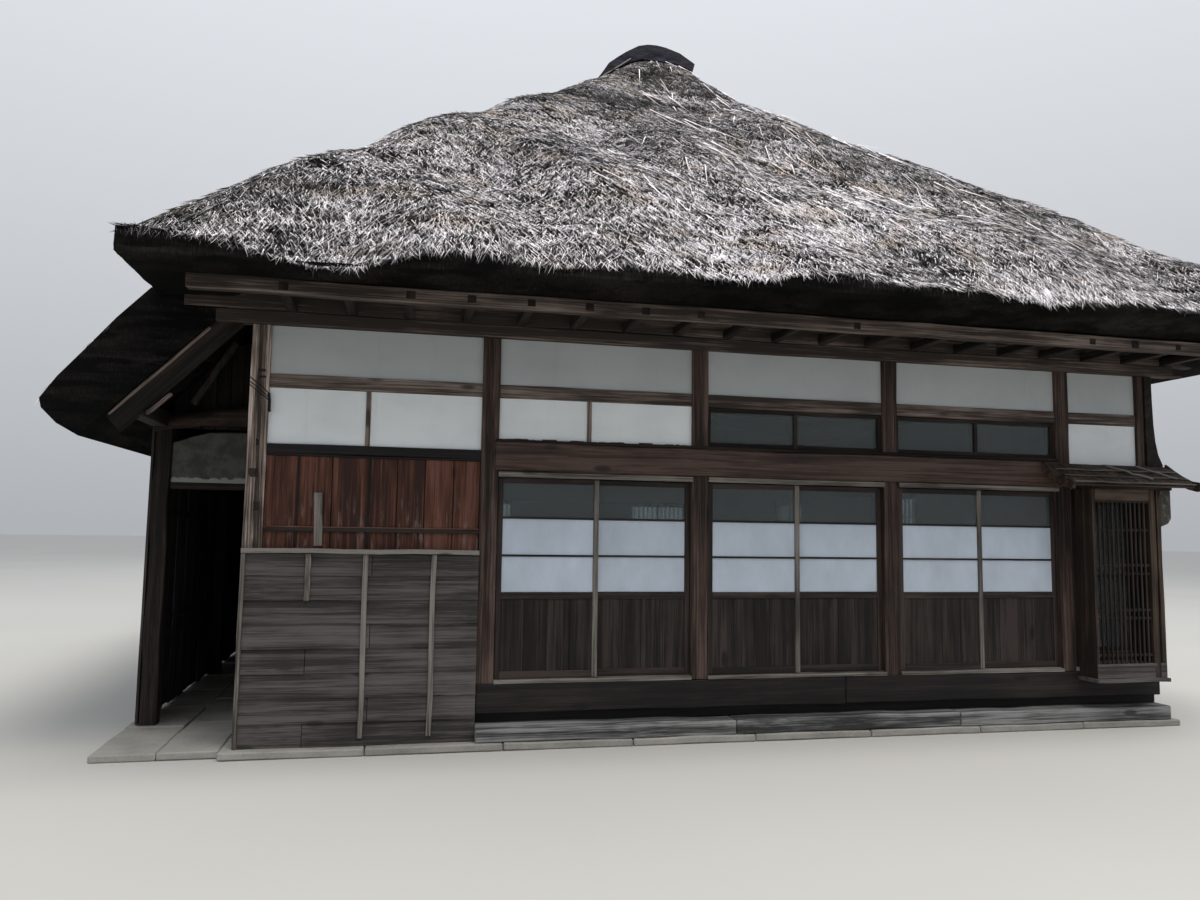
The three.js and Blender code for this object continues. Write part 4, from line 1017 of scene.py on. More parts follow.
class FARMHOUSE_OT_pent_roof(bpy.types.Operator):
    """Makes the small shingled pent roof over the lattice bay, with its curved end boards"""

    bl_idname = "farmhouse.pent_roof"
    bl_label = "Pent roof"

    def execute(self, context):
        low, high = house_box("pent_roof")
        work = Work("pent_shingles", 110)
        left, right = 7.36, 8.76
        wall, eave = Vector((0, -0.033, 2.545)), Vector((0, -0.4, 2.335))
        along = (eave - wall).normalized()
        over = Vector((0, along.z, -along.y))
        middle = (wall + eave) / 2
        deck = [(x, middle.y, middle.z - 0.012) for x in (left, right)]
        work.strut(*deck, (eave - wall).length, 0.02, "bay_cedar", up=over, cuts=5)
        course, lap = 0.135, 0.03
        for row in range(3):
            head = wall + along * (course * row)
            foot = wall + along * min(course * (row + 1) + lap, 0.43)
            for start, end in evenly(left, right, 0.13):
                lift = over * (0.012 + work.dice.uniform(0, 0.004))
                drop = along * work.dice.uniform(-0.01, 0.006)
                x = (start + end) / 2
                upper = Vector((x, head.y, head.z)) + over * 0.002
                lower = Vector((x, foot.y, foot.z)) + lift + drop
                wide = end - start - 0.006
                work.strut(upper, lower, wide, 0.01, "bay_cedar", up=over, cuts=1, wander=0.001)
            edge = foot + over * 0.024
            strip = [(x, edge.y + 0.012, edge.z) for x in (left, right)]
            work.strut(*strip, 0.018, 0.008, "track_wood", up=over, tone=0.6, cuts=6)
        # Two thin sticks that once held the shingles down have slid askew
        for head_x, foot_x, reach in ((7.99, 8.3, 0.36), (8.36, 8.6, 0.34)):
            head, foot = wall + along * 0.06 + over * 0.03, wall + along * reach + over * 0.036
            stick = ((head_x, head.y, head.z), (foot_x, foot.y, foot.z))
            work.strut(*stick, 0.016, 0.012, "track_wood", up=over, tone=1.6, wander=0.004)
        # Curved boards at both ends, y and z from the wall outwards and back underneath
        barge = [(-0.031, 2.575), (-0.12, 2.51), (-0.22, 2.445), (-0.33, 2.39), (-0.42, 2.372)]
        barge += [(-0.44, 2.372), (-0.44, 2.29), (-0.4, 2.283), (-0.3, 2.31), (-0.2, 2.355)]
        barge += [(-0.1, 2.42), (-0.031, 2.47)]
        for x in (low.x, high.x - 0.031):
            work.prism(barge, "x", (x, x + 0.031), "bay_cedar", tone=0.45)
        # The shelf under it, and the boards that close it against the wall
        work.block((7.7, 8.625), (-0.25, -0.032), (2.3005, 2.36), "bay_cedar", tone=0.3)
        for start, end in evenly(7.68, 8.62, 0.2):
            work.block((start + 0.001, end - 0.001), (-0.04, -0.001), (2.3, 2.545), "bay_cedar", cuts=1)
        work.done(["pent_roof"], bevel=0.0015)
        return {"FINISHED"}


# The other three walls


# The windows of the right and back walls, inside their frames
HALF_WINDOW = 0.6
WINDOW_Z = (1.5, 2.4)
JAMB = 0.06


class FARMHOUSE_OT_side_walls(bpy.types.Operator):
    """Frames, boards and plasters the right, left and back walls, and sets their windows"""

    bl_idname = "farmhouse.side_walls"
    bl_label = "Side and back walls"

    def execute(self, context):
        side = (0.2205, 11.2695)
        panel = (0.1305, 11.2695)
        self.wall("right", SIDE_POSTS_Y, side, panel, [2.5 * BAY, 4.5 * BAY], 120)
        self.wall("left", SIDE_POSTS_Y, side, panel, [], 130)
        whole = (LEFT_FACE, RIGHT_FACE)
        self.wall("back", POSTS_X, whole, whole, [1.5 * BAY, 3.5 * BAY], 140)
        return {"FINISHED"}

    def place(self, side, along, deep):
        """The x and y spans of a run along a wall, between two depths in from its face."""
        if side == "right":
            return (RIGHT_FACE - deep[1], RIGHT_FACE - deep[0]), along
        if side == "left":
            return (LEFT_FACE + deep[0], LEFT_FACE + deep[1]), along
        return along, (BACK_FACE - deep[1], BACK_FACE - deep[0])

    def wall(self, side, posts, beams, panels, windows, seed):
        """One wall: its timbers, its upright boards and battens, its plaster and its windows."""
        work = Work(f"{side}_timbers", seed)

        def lay(along, deep, z, finish, **more):
            work.block(*self.place(side, along, deep), z, finish, **more)

        # Foundation timber, sill in two steps, head plate, mid rail and the head of the boards
        lay(beams, (0.0, 0.13), (FOOTING_TOP, 0.19), "ground_timber", cuts=16, wander=0.004)
        lay(beams, (0.03, 0.13), (0.188, 0.278), "sill_timber", cuts=6)
        lay(beams, (0.0, 0.13), (0.276, 0.52), "sill_timber", tone=0.6, cuts=16, wander=0.003)
        lay(beams, (0.0, 0.13), (WALL_TOP, 3.67), "smoked_timber", tone=0.6, cuts=16, wander=0.003)
        lay(panels, (0.015, 0.075), (2.96, 3.075), "rail_cedar", cuts=16)
        lay(panels, (0.012, 0.075), (2.45, 2.497), "sill_timber", tone=0.5, cuts=16)
        for s in posts:
            post = ((s - HALF_POST, s + HALF_POST), (0.0, POST_DEPTH), (0.19, WALL_TOP + 0.001))
            lay(*post, "hewn_cedar", cuts=8, wander=0.003)
        if side == "right":
            low, high = house_box("right_frame")
            purlin = ((high.x - 0.11, high.x), (low.y + 0.11, high.y - 0.01), PURLIN_Z)
            work.block(*purlin, "rail_cedar", tone=0.35, cuts=16, wander=0.004)
            for i in range(12):
                y = 0.31 + BAY / 2 * i
                work.block((8.615, 8.76), (y, y + 0.08), (ARM_FOOT, 3.668), "smoked_timber", cuts=1)
        work.done([f"{side}_frame"], bevel=0.007)

        dress(f"{side}_wall_panels", plaster_finish("lime_plaster"))
        work = Work(f"{side}_boards", seed + 1)
        ends = [panels[0]] + [s for s in posts if panels[0] + 0.1 < s < panels[1] - 0.1] + [panels[1]]
        width = bpy.context.scene.farmhouse_sizes.board
        for first, last in zip(ends, ends[1:]):
            start = first + (HALF_POST if first in posts else 0.0)
            end = last - (HALF_POST if last in posts else 0.0)
            centre = next((w for w in windows if start < w < end), None)
            for a, b in evenly(start, end, width):
                under_window = centre is not None and abs((a + b) / 2 - centre) < HALF_WINDOW + 0.08
                top = WINDOW_Z[0] - JAMB if under_window else BOARDS_TOP
                deep = (0.016 + work.dice.uniform(0, 0.004), 0.0295)
                lay((a + 0.002, b - 0.002), deep, (0.553, top), "wainscot_cedar", cuts=4, wander=0.001)
            reach = HALF_WINDOW + JAMB
            spans = [(start, end)] if centre is None else [(start, centre - reach), (centre + reach, end)]
            for span in spans:
                if span[1] - span[0] > 0.05:
                    lay(span, (0.008, 0.02), (1.79, 1.812), "wainscot_cedar", tone=0.2, cuts=2)
        for centre in windows:
            self.window(lay, centre)
        if side == "right":
            # Battens beside the corner posts
            for span in ((0.1, 0.134), (11.266, 11.3)):
                lay(span, (0.006, 0.0295), (0.52, 2.45), "smoked_timber", tone=0.7, cuts=4)
        work.done(bevel=0.002)
        if windows:
            dress(f"{side}_window_glass", clear_glass())

    def window(self, lay, centre):
        """A pair of sashes in a frame, behind upright bars."""
        left, right, (base, top) = centre - HALF_WINDOW, centre + HALF_WINDOW, WINDOW_Z
        dark = {"tone": 0.7, "cuts": 3}
        for span in ((left - JAMB, left), (right, right + JAMB)):
            lay(span, (0.004, 0.129), (base - JAMB, BOARDS_TOP), "smoked_timber", **dark)
        lay((left, right), (0.0, 0.129), (base - JAMB, base), "clap_cedar", tone=0.6, cuts=3)
        lay((left, right), (0.004, 0.129), (top, BOARDS_TOP), "smoked_timber", **dark)
        # Two sashes that overlap in the middle, one behind the other, each with two thin bars
        stile = 0.04
        sashes = ((left, centre + 0.02, (0.07, 0.095)), (centre - 0.02, right, (0.098, 0.123)))
        rails = ((base, stile), (base + 0.29, 0.018), (base + 0.58, 0.018), (top - stile, stile))
        for start, end, deep in sashes:
            for span in ((start, start + stile), (end - stile, end)):
                lay(span, deep, (base, top), "door_cedar", cuts=2)
            for z, height in rails:
                lay((start + stile, end - stile), deep, (z, z + height), "door_cedar", cuts=2)
        for i in range(1, 12):
            s = left + 0.1 * i
            lay((s - 0.01, s + 0.01), (0.02, 0.04), (base, top), "smoked_timber", cuts=2)


# The lean-to and the porch


APRON_FOOT = 3.49


def under_apron(x):
    """The height of the low thatch's underside."""
    return APRON_FOOT + RAKE_SLOPE * (x + 0.37)


class FARMHOUSE_OT_lean_to(bpy.types.Operator):
    """Builds the lean-to's posts, plate, rake timbers, boards and the porch with its log"""

    bl_idname = "farmhouse.lean_to"
    bl_label = "Lean-to and porch"

    def execute(self, context):
        outer, inner = -1.008, -0.868
        top = under_apron(outer) - 0.005
        work = Work("lean_to_frame", 150)
        for y in (0.95, 3.8, 6.65, 9.5, 11.128):
            post = ((outer, inner), (y, y + 0.14), (FOOTING_TOP, top - 0.05))
            work.block(*post, "smoked_timber", tone=0.55, cuts=6, wander=0.005)
        work.block((outer, inner), (0.03, 11.37), (top - 0.14, top), "smoked_timber", cuts=16, wander=0.003)
        # Broad rake timbers at both ends, each with a thin batten along its face
        drop = 0.165 * math.hypot(1, RAKE_SLOPE)
        rake = [
            (-1.15, under_apron(-1.15) - 0.001),
            (-1.04, under_apron(-1.04) - drop),
            (-0.37 + drop / RAKE_SLOPE, APRON_FOOT - 0.001),
            (-0.37, APRON_FOOT - 0.001),
        ]
        slant = Vector((1, 0, RAKE_SLOPE)).normalized()
        over = (-slant.z, 0, slant.x)
        batten_finish = timber_finish("rail_cedar", "d")
        for y, face in (((0.004, 0.1), 0.0), ((11.3, 11.396), 11.4)):
            work.prism(rake, "y", y, timber_finish("rake_cedar", "d"), tone=0.4)
            batten = [(x, face, under_apron(x) - 0.03) for x in (-1.12, -0.4)]
            work.strut(*batten, 0.02, 0.028, batten_finish, up=over, tone=0.2)
        stick = ((-0.846, 0.02, 2.7), (-0.668, 0.02, 2.87))
        work.strut(*stick, 0.03, 0.03, batten_finish, up=over, tone=0.6)
        brace = ((-0.609, 0.5, 2.854), (-0.28, 0.5, 3.406))
        work.strut(*brace, 0.05, 0.05, "smoked_timber", up=INTO_HOUSE, tone=0.7)
        # Boards that close the gable of the lean-to over the porch's back wall
        for start, end in evenly(inner + 0.002, -0.05, 0.12):
            a, b = start + 0.002, end - 0.002
            heads = [min(under_apron(x) - 0.02, 3.5) for x in (start, end)]
            board = [(a, 2.69), (b, 2.69), (b, heads[1]), (a, heads[0])]
            work.prism(board, "y", (0.985, 1.005), timber_finish("rake_cedar", "z"))
        work.done(["leanto_frame"], bevel=0.008)

        low, high = house_box("leanto_boards")
        work = Work("lean_to_boards", 151)
        for start, end in evenly(low.y, high.y, 0.21):
            foot = low.z + work.dice.uniform(0.0, 0.03)
            x = low.x + work.dice.uniform(0.0, 0.008)
            board = ((x, x + 0.02), (start + 0.002, end - 0.002), (foot, high.z - 0.003))
            work.block(*board, "clap_cedar", cuts=5)
        for z in (0.9, 1.9):
            rail = ((low.x + 0.026, outer - 0.001), (low.y, high.y), (z, z + 0.06))
            work.block(*rail, "clap_cedar", tone=0.3, cuts=12)
        for start, end in evenly(low.x + 0.03, high.x, 0.2):
            board = ((start + 0.002, end - 0.002), (high.y - 0.024, high.y), (low.z, high.z - 0.004))
            work.block(*board, "clap_cedar", cuts=5)
        work.done(["leanto_boards"], bevel=0.002)

        low, high = house_box("porch_plaster_panel")
        work = Work("porch_panel", 152)
        arch = [(low.x, low.z), (high.x, low.z), (high.x, 2.66), (-0.2, 2.665)]
        arch += [(-0.341, 2.668), (-0.556, 2.66), (-0.7, 2.62), (-0.8, 2.58), (low.x, 2.56)]
        work.prism(arch, "y", (low.y, high.y), plaster_finish("mud_plaster"))
        ledge = ((low.x, high.x), (low.y - 0.012, low.y + 0.05), (low.z - 0.05, low.z + 0.01))
        work.block(*ledge, "smoked_timber", cuts=2)
        work.done(["porch_plaster_panel"], bevel=0.01)
        self.log()
        return {"FINISHED"}

    def log(self):
        """The bowed log that ties the corner post to the lean-to."""
        low, high = house_box("porch_tie_log")
        work = Work("tie_log", 153)
        path = [(low.x, 2.7), (-0.8, 2.735), (-0.6, 2.768), (-0.365, 2.797), (high.x, 2.815)]
        rings = 12
        round_log = [(math.cos(a), math.sin(a)) for a in [2 * math.pi * i / rings for i in range(rings)]]
        part = work.prism(round_log, "x", (low.x, high.x), "hewn_cedar", tone=0.05, cuts=14)
        points = read_points(part.data)
        along = points[:, 0]
        bow = np.interp(along, [p[0] for p in path], [p[1] for p in path])
        thick = np.interp(along, [low.x, -0.6, -0.4, high.x], [0.062, 0.07, 0.088, 0.092])
        thick += 0.004 * np.sin(along * 23)
        thick *= 1 + 0.06 * np.sin(3 * np.arctan2(points[:, 2], points[:, 1]) + 4 * along)
        points[:, 1] = (low.y + high.y) / 2 + points[:, 1] * np.minimum(thick, 0.085)
        points[:, 2] = bow + points[:, 2] * thick
        write_points(part.data, points)
        work.done(["porch_tie_log"], bevel=0)


# The thatch

# Where the four lips of the roof stand, and how high
LIPS = {"left": -0.8, "right": 9.35, "front": -1.2, "back": 12.6}
HALF_SPAN = (LIPS["right"] - LIPS["left"]) / 2
LIP_TOP = 3.8
PITCH = 0.86
ROOF_TOP = 8.32
# How far the ridges where two slopes meet are rounded
HIP_ROUNDING = 0.16
# The soffit's height, and how far in from the lips it reaches
SOFFIT = 3.69
SEAT = 0.6
# The share of a slope's rows that its lip's face has, and how the rest crowd towards the lip
LIP_SHARE = 0.1
CROWDING = 1.4
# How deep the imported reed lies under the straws, and where on a slope the mat and the loose straws start
MAT_DEPTH = 0.025
MAT_START = 0.075
LOOSE_START = 0.36
# The middle of the pool of painted light on the front lip
PAINTED_LIGHT_PATCH = Vector((3.7, -1.1, 4.0))
# Where tufts have slipped off the front lip: the place along it, the half width, and how far up they reach
NOTCHES = ((4.2, 0.17, 0.045), (2.6, 0.12, 0.035), (1.3, 0.2, 0.02), (6.2, 0.25, 0.025), (7.7, 0.2, 0.03))
# The top of the low thatch over the lean-to, x and z from the wall outwards
APRON_TOP = [(-0.62, 3.95), (-0.72, 3.88), (-0.9, 3.68), (-1.1, 3.46)]
APRON_TOP += [(-1.3, 3.22), (-1.5, 2.97), (-1.62, 2.8)]
# Humps and hollows of the weathered reed, as low waves: run along x, run along y, height, start
WAVES = (
    (1.9, 3.3, 0.026, -0.68),
    (-2.4, 2.1, 0.024, 2.76),
    (3.4, -2.8, 0.034, 1.2),
    (1.45, 7.0, 0.023, 2.33),
    (6.0, 1.6, 0.028, 3.13),
    (5.0, 5.0, 0.022, -2.01),
    (-4.2, 6.5, 0.008, -2.06),
    (9.0, -3.0, 0.024, 0.97),
    (2.6, 1.5, 0.028, 1.25),
    (-1.6, 3.6, 0.009, 2.07),
)


def from_lip(x, y):
    """Distance in from the nearest lip, rounded where two slopes meet."""
    sides = np.stack([x - LIPS["left"], LIPS["right"] - x, y - LIPS["front"], LIPS["back"] - y])
    nearest = sides.min(axis=0)
    crowd = np.exp((nearest - sides) / HIP_ROUNDING).sum(axis=0)
    return np.maximum(0, nearest - HIP_ROUNDING * np.log(crowd))


def thatch_top(x, y):
    """The height of the thatch's top."""
    d = from_lip(x, y)
    across = (x - LIPS["left"]) / (2 * HALF_SPAN)
    lift = 0.1 * across * np.exp(-d / 0.8) + 0.05 * np.exp((d - HALF_SPAN) / 0.35)
    height = LIP_TOP + PITCH * d + 0.2 * (1 - np.exp(-d / 0.55)) + lift
    humps = 0
    for run_x, run_y, rise, start in WAVES:
        humps = humps + rise * np.sin(2 * math.pi * (x / run_x + y / run_y) + start)
    return np.minimum(ROOF_TOP, height + humps)


def lip_base(side, x, y):
    """The height of the lip's lower edge."""
    corner = np.minimum(np.minimum(y - LIPS["front"], LIPS["back"] - y), 1.0)
    level = 3.67 + 0.18 * (x - LIPS["left"]) / (2 * HALF_SPAN)
    return level - (level - 3.55) * corner if side == "right" else level


def worn_back(side, x):
    """How much further up the straws begin where a tuft has slipped off the front lip."""
    tufts = NOTCHES if side == "front" else ()
    return sum((share * np.exp(-(((x - place) / reach) ** 2)) for place, reach, share in tufts), 0.0 * x)


def slope_place(side, u, d):
    """Where a point of a slope stands: u runs along its lip, and d is the distance in from it."""
    low_x, high_x = LIPS["left"] + d, LIPS["right"] - d
    low_y, high_y = LIPS["front"] + d, LIPS["back"] - d
    if side == "front":
        return low_x + (high_x - low_x) * u, low_y
    if side == "back":
        return high_x + (low_x - high_x) * u, high_y
    if side == "left":
        return low_x, high_y + (low_y - high_y) * u
    return high_x, low_y + (high_y - low_y) * u


def lumps(x, y, z):
    """Weathered unevenness of the reed: low mounds, and broken courses that run along the slope."""
    height = bpy.context.scene.farmhouse_sizes.lump
    value = np.empty(len(x))
    for i, (a, b, c) in enumerate(zip(x, y, z)):
        mound = noise.noise(Vector((a * 0.9, b * 0.9, c * 0.9)))
        course = noise.noise(Vector((a * 2.2, b * 2.2, c * 7.0)))
        tuft = noise.noise(Vector((a * 7.0 + 5, b * 7.0, c * 12.0)))
        value[i] = height * (0.3 * mound + 0.45 * course + 0.6 * tuft - 0.2)
    return value


def lay_slope(side, u, v, sunk=0.0):
    """The place of each point of a slope's skin: v runs up the lip's face first, and then up the slope."""
    on_face = np.minimum(v / LIP_SHARE, 1)
    d = HALF_SPAN * np.maximum((v - LIP_SHARE) / (1 - LIP_SHARE), 0) ** CROWDING
    x, y = slope_place(side, u, d)
    top = thatch_top(x, y)
    base = lip_base(side, x, y)
    z = np.where(v < LIP_SHARE, base + (top - base) * on_face, top)
    raised = lumps(x, y, z)
    out = np.where(v < LIP_SHARE, 0.5, 0.0) * raised
    x = x + out * {"left": -1, "right": 1}.get(side, 0)
    y = y + out * {"front": -1, "back": 1}.get(side, 0)
    return np.stack([x, y, z + np.where(v < LIP_SHARE, 0, raised - sunk)], axis=1)


def under_slope(side, u, v):
    """The place of each point of a slope's underside: the flat soffit first, and then up inside the roof."""
    on_soffit = np.minimum(v / LIP_SHARE, 1)
    reach = np.maximum((v - LIP_SHARE) / (1 - LIP_SHARE), 0) ** CROWDING
    d = np.where(v < LIP_SHARE, 0.03 + (SEAT - 0.03) * on_soffit, SEAT + (HALF_SPAN - SEAT) * reach)
    x, y = slope_place(side, u, d)
    base = lip_base(side, x, y)
    z = np.where(v < LIP_SHARE, base + (SOFFIT - base) * on_soffit, SOFFIT + PITCH * (d - SEAT))
    return np.stack([x, y, z], axis=1)


# How many faces each slope has along its lip and up to the ridge
GRIDS = {"front": (150, 64), "back": (110, 44), "left": (150, 44), "right": (150, 44)}


def grid_sheet(name, columns, rows):
    """A flat grid one metre square, as an object."""
    bpy.ops.object.select_all(action="DESELECT")
    bpy.ops.mesh.primitive_grid_add(x_subdivisions=columns, y_subdivisions=rows, size=1)
    made = bpy.context.object
    made.name = name
    return made


class FARMHOUSE_OT_thatch(bpy.types.Operator):
    """Heaps the four slopes of packed reed, and the low apron over the lean-to"""

    bl_idname = "farmhouse.thatch"
    bl_label = "Thatch"

    def execute(self, context):
        for side in GRIDS:
            self.slope(side)
        self.apron()
        return {"FINISHED"}

    def slope(self, side):
        """One closed slope: its skin, its lip and its underside."""
        heap = grid_sheet(f"reed_{side}", *GRIDS[side])
        bpy.ops.object.mode_set(mode="EDIT")
        bpy.ops.mesh.select_all(action="SELECT")
        bpy.ops.mesh.extrude_region_move(TRANSFORM_OT_translate={"value": (0, 0, 1)})
        bpy.ops.object.mode_set(mode="OBJECT")
        points = read_points(heap.data)
        u, v, skin = points[:, 0] + 0.5, points[:, 1] + 0.5, points[:, 2] > 0.5
        placed = np.where(skin[:, None], lay_slope(side, u, v, MAT_DEPTH), under_slope(side, u, v))
        write_points(heap.data, placed + np.array(ORIGIN))
        bare = worn_back(side, placed[:, 0]) + 1e-6
        across = "x" if side in ("front", "back") else "y"
        for kind in ("reed_slope", "reed_cut", "reed_soffit"):
            heap.data.materials.append(thatch_finish(kind, across))
        for face in heap.data.polygons:
            corners = list(face.vertices)
            on_skin = all(skin[i] for i in corners)
            lip = on_skin and all(v[i] <= LIP_SHARE + bare[i] for i in corners)
            face.material_index = 1 if lip else (0 if on_skin else 2)
        only(heap)
        face_outwards()
        bpy.ops.object.shade_smooth_by_angle(angle=math.radians(50))
        declare(heap, f"reed_{side}", [] if side == "left" else [f"thatch_{side}"])

    def apron(self):
        """The low thatch over the lean-to, with its cut front face."""
        bottom = [(-1.6, 2.72), (-1.49, 2.61), (-1.32, under_apron(-1.32)), (-1.15, under_apron(-1.15))]
        bottom += [(-0.76, under_apron(-0.76)), (-0.37, 3.49), (-0.2, under_apron(-0.2)), (-0.14, 3.8)]
        work = Work("reed_apron", 160)
        part = work.prism(APRON_TOP + bottom, "y", (-0.03, 11.43), thatch_finish("reed_slope", "y"), cuts=90)
        points = read_points(part.data)
        rough = lumps(points[:, 0], points[:, 1], points[:, 2] * 2)
        inner = points[:, 2] < under_apron(points[:, 0]) + 0.02
        points[:, 2] += np.where(inner, 0, rough)
        points[:, 0] -= np.where(inner, 0, rough * 0.6)
        write_points(part.data, points)
        part.data.materials.append(thatch_finish("reed_cut", "x"))
        part.data.materials.append(thatch_finish("reed_soffit", "y"))
        for face in part.data.polygons:
            face.material_index = 1 if abs(face.normal.y) > 0.9 else (2 if face.normal.z < -0.2 else 0)
        work.done(bevel=0)


class FARMHOUSE_OT_straw(bpy.types.Operator):
    """Lays loose weathered straws over every slope and lets them hang over the lips"""

    bl_idname = "farmhouse.straw"
    bl_label = "Straw"

    def execute(self, context):
        sizes = context.scene.farmhouse_sizes
        mat = {"long": sizes.straw_length, "wide": sizes.straw_width}
        mat |= {"turn": (-0.8, 0.8), "lift": (-0.02, 0.16)}
        third = 1 / 3
        for i in range(3):
            stretch = self.on_slope("front", (i * third, (i + 1) * third))
            self.straws(f"straw_front_{i + 1}", stretch, sizes.front_straws, 200 + i, mat)
        rough = dict(mat, long=1.3 * sizes.straw_length, wide=1.9 * sizes.straw_width)
        for i, side in enumerate(("left", "right", "back")):
            self.straws(f"straw_{side}", self.on_slope(side, (0, 1)), sizes.side_straws, 210 + i, rough)
        self.straws("straw_apron", self.on_apron, sizes.side_straws // 2, 215, rough)
        loose = {"long": 0.45, "wide": 0.012, "turn": (-0.2, 0.7), "lift": (-0.03, 0.05), "tone": (1.2, 1.8)}
        stray = self.on_slope("front", (0.3, 0.95), LOOSE_START, -0.03)
        self.straws("loose_straw", stray, sizes.loose_straws, 220, loose)
        return {"FINISHED"}

    def on_slope(self, side, span, start=MAT_START, sunk=0.0):
        """A way to lay a sheet on a stretch of a slope: where its points go, and how large its straws are."""

        def lay(across, up):
            u = span[0] + (span[1] - span[0]) * across
            first = start + worn_back(side, LIPS["left"] + (LIPS["right"] - LIPS["left"]) * u)
            v = first + (1 - first) * up
            # On the lip's face the straws are shorter, and through their size painted darker, as painted
            # shade of that face
            return lay_slope(side, u, v, sunk), np.interp(v, [LIP_SHARE * 0.8, LIP_SHARE * 1.2], [0.5, 1.0])

        return lay

    def on_apron(self, across, up):
        """A sheet on the top of the low thatch over the lean-to."""
        rows = np.linspace(0, 1, len(APRON_TOP))
        x = np.interp(up, rows, [p[0] for p in APRON_TOP])
        z = np.interp(up, rows, [p[1] for p in APRON_TOP])
        y = 11.42 - 11.44 * across
        raised = lumps(x, y, z * 2)
        return np.stack([x - 0.6 * raised, y, z + raised], axis=1), np.full(len(x), 0.8)

    def straws(self, name, lay, count, seed, kind):
        """The straws of one stretch, scattered by geometry nodes over a sheet that lies on the reed."""
        sheet = grid_sheet(name, 80, 70)
        points = read_points(sheet.data)
        placed, size = lay(points[:, 0] + 0.5, points[:, 1] + 0.5)
        write_points(sheet.data, placed + np.array(ORIGIN))
        sheet.data.attributes.new("size", "FLOAT", "POINT").data.foreach_set("value", size)
        area = sum(face.area for face in sheet.data.polygons)
        scatter = sheet.modifiers.new("straws", "NODES")
        scatter.node_group = straw_nodes(name, count / area, seed, kind)
        only(sheet)
        bpy.ops.object.modifier_apply(modifier=scatter.name)
        sheet.data.materials.clear()
        sheet.data.materials.append(straw_finish())
        declare(sheet, name, ["thatch_left"] if name == "straw_left" else [])


def straw_nodes(name, density, seed, kind):
    """Geometry nodes that lay three-sided straws on a sheet, matted and mostly down the slope."""
    tree = bpy.data.node_groups.new(f"{name}_scatter", "GeometryNodeTree")
    for way in ("INPUT", "OUTPUT"):
        tree.interface.new_socket("Geometry", in_out=way, socket_type="NodeSocketGeometry")

    def made(kind, sockets=None, output=0, **settings):
        """One output of a new node."""
        return add(tree, kind, settings, sockets).outputs[output]

    # Crevices between the courses, where few straws are left
    place = made("GeometryNodeInputPosition")
    stretched = made("ShaderNodeVectorMath", {0: place, 1: CREVICES}, operation="MULTIPLY")
    gaps = made("ShaderNodeTexNoise", {"Vector": stretched, "Scale": 1.0, "Detail": 3.0})
    thinned = made("ShaderNodeMapRange", {0: gaps, 1: 0.4, 2: 0.5, 3: 0.25 * density, 4: 1.2 * density})
    spread = {"Mesh": made("NodeGroupInput"), "Density": thinned, "Seed": seed}
    scattered = add(tree, "GeometryNodeDistributePointsOnFaces", {"distribute_method": "RANDOM"}, spread)
    normal = scattered.outputs["Normal"]
    # Each straw draws its own turn off the slope's fall, lift off the slope, length, width and tone
    spans = {"turn": kind["turn"], "lift": kind["lift"], "long": (0.4, 1.5), "wide": (0.6, 1.3)}
    spans["tone"] = kind.get("tone", (0.0, 1.0))
    drawn = {}
    for i, (part, (least, most)) in enumerate(spans.items()):
        limits = {2: least, 3: most, "Seed": seed + 1 + i}
        drawn[part] = made("FunctionNodeRandomValue", limits, 1, data_type="FLOAT")
    gravity = (0, 0, -1)
    maths = "ShaderNodeVectorMath"
    drop = made(maths, {0: normal, 1: gravity}, "Value", operation="DOT_PRODUCT")
    off_slope = made(maths, {0: normal, "Scale": drop}, operation="SCALE")
    fall = made(maths, {0: gravity, 1: off_slope}, operation="SUBTRACT")
    down = made(maths, {0: fall}, operation="NORMALIZE")
    across = made(maths, {0: normal, 1: down}, operation="CROSS_PRODUCT")
    swing = made(maths, {0: across, "Scale": drawn["turn"]}, operation="SCALE")
    rise = made(maths, {0: normal, "Scale": drawn["lift"]}, operation="SCALE")
    turned = made(maths, {0: down, 1: swing}, operation="ADD")
    course = made(maths, {0: turned, 1: rise}, operation="ADD")
    turn = made("FunctionNodeAlignRotationToVector", {"Vector": course}, axis="Z")
    reed = {"Vertices": 3, "Side Segments": 1, "Depth": kind["long"]}
    reed |= {"Radius Top": 0.0, "Radius Bottom": kind["wide"] / 2}
    straw = made("GeometryNodeMeshCone", reed, fill_type="NGON")
    size = made("GeometryNodeInputNamedAttribute", {"Name": "size"}, data_type="FLOAT")
    long = made("ShaderNodeMath", {0: size, 1: drawn["long"]}, operation="MULTIPLY")
    shape = made("ShaderNodeCombineXYZ", {0: drawn["wide"], 1: 1.0, 2: long})
    stand = {"Points": scattered.outputs["Points"], "Instance": straw, "Rotation": turn, "Scale": shape}
    placed = made("GeometryNodeInstanceOnPoints", stand)
    # A straw's tone is scaled by its size: those on the lip's face come out darker as painted shade, and
    # those on the apron a little darker
    tone = made("ShaderNodeMath", {0: size, 1: drawn["tone"]}, operation="MULTIPLY")
    marks = {"Geometry": placed, "Name": "tone", "Value": tone}
    marked = made("GeometryNodeStoreNamedAttribute", marks, data_type="FLOAT", domain="INSTANCE")
    real = made("GeometryNodeRealizeInstances", {"Geometry": marked})
    add(tree, "NodeGroupOutput", None, {0: real})
    return tree


# The hood's section, x and z from the left foot over the top, and its lower edge back to the left
HOOD_TOP = [
    (3.51, 7.79),
    (3.6, 7.92),
    (3.68, 8.05),
    (3.8, 8.15),
    (3.92, 8.24),
    (4.09, 8.345),
    (4.22, 8.38),
    (4.34, 8.385),
    (4.47, 8.37),
    (4.67, 8.315),
    (4.885, 8.19),
    (4.85, 8.06),
]
HOOD_UNDER = [(4.825, 8.088), (4.623, 8.15), (4.424, 8.158), (4.136, 8.155), (3.963, 8.087), (3.63, 7.857)]


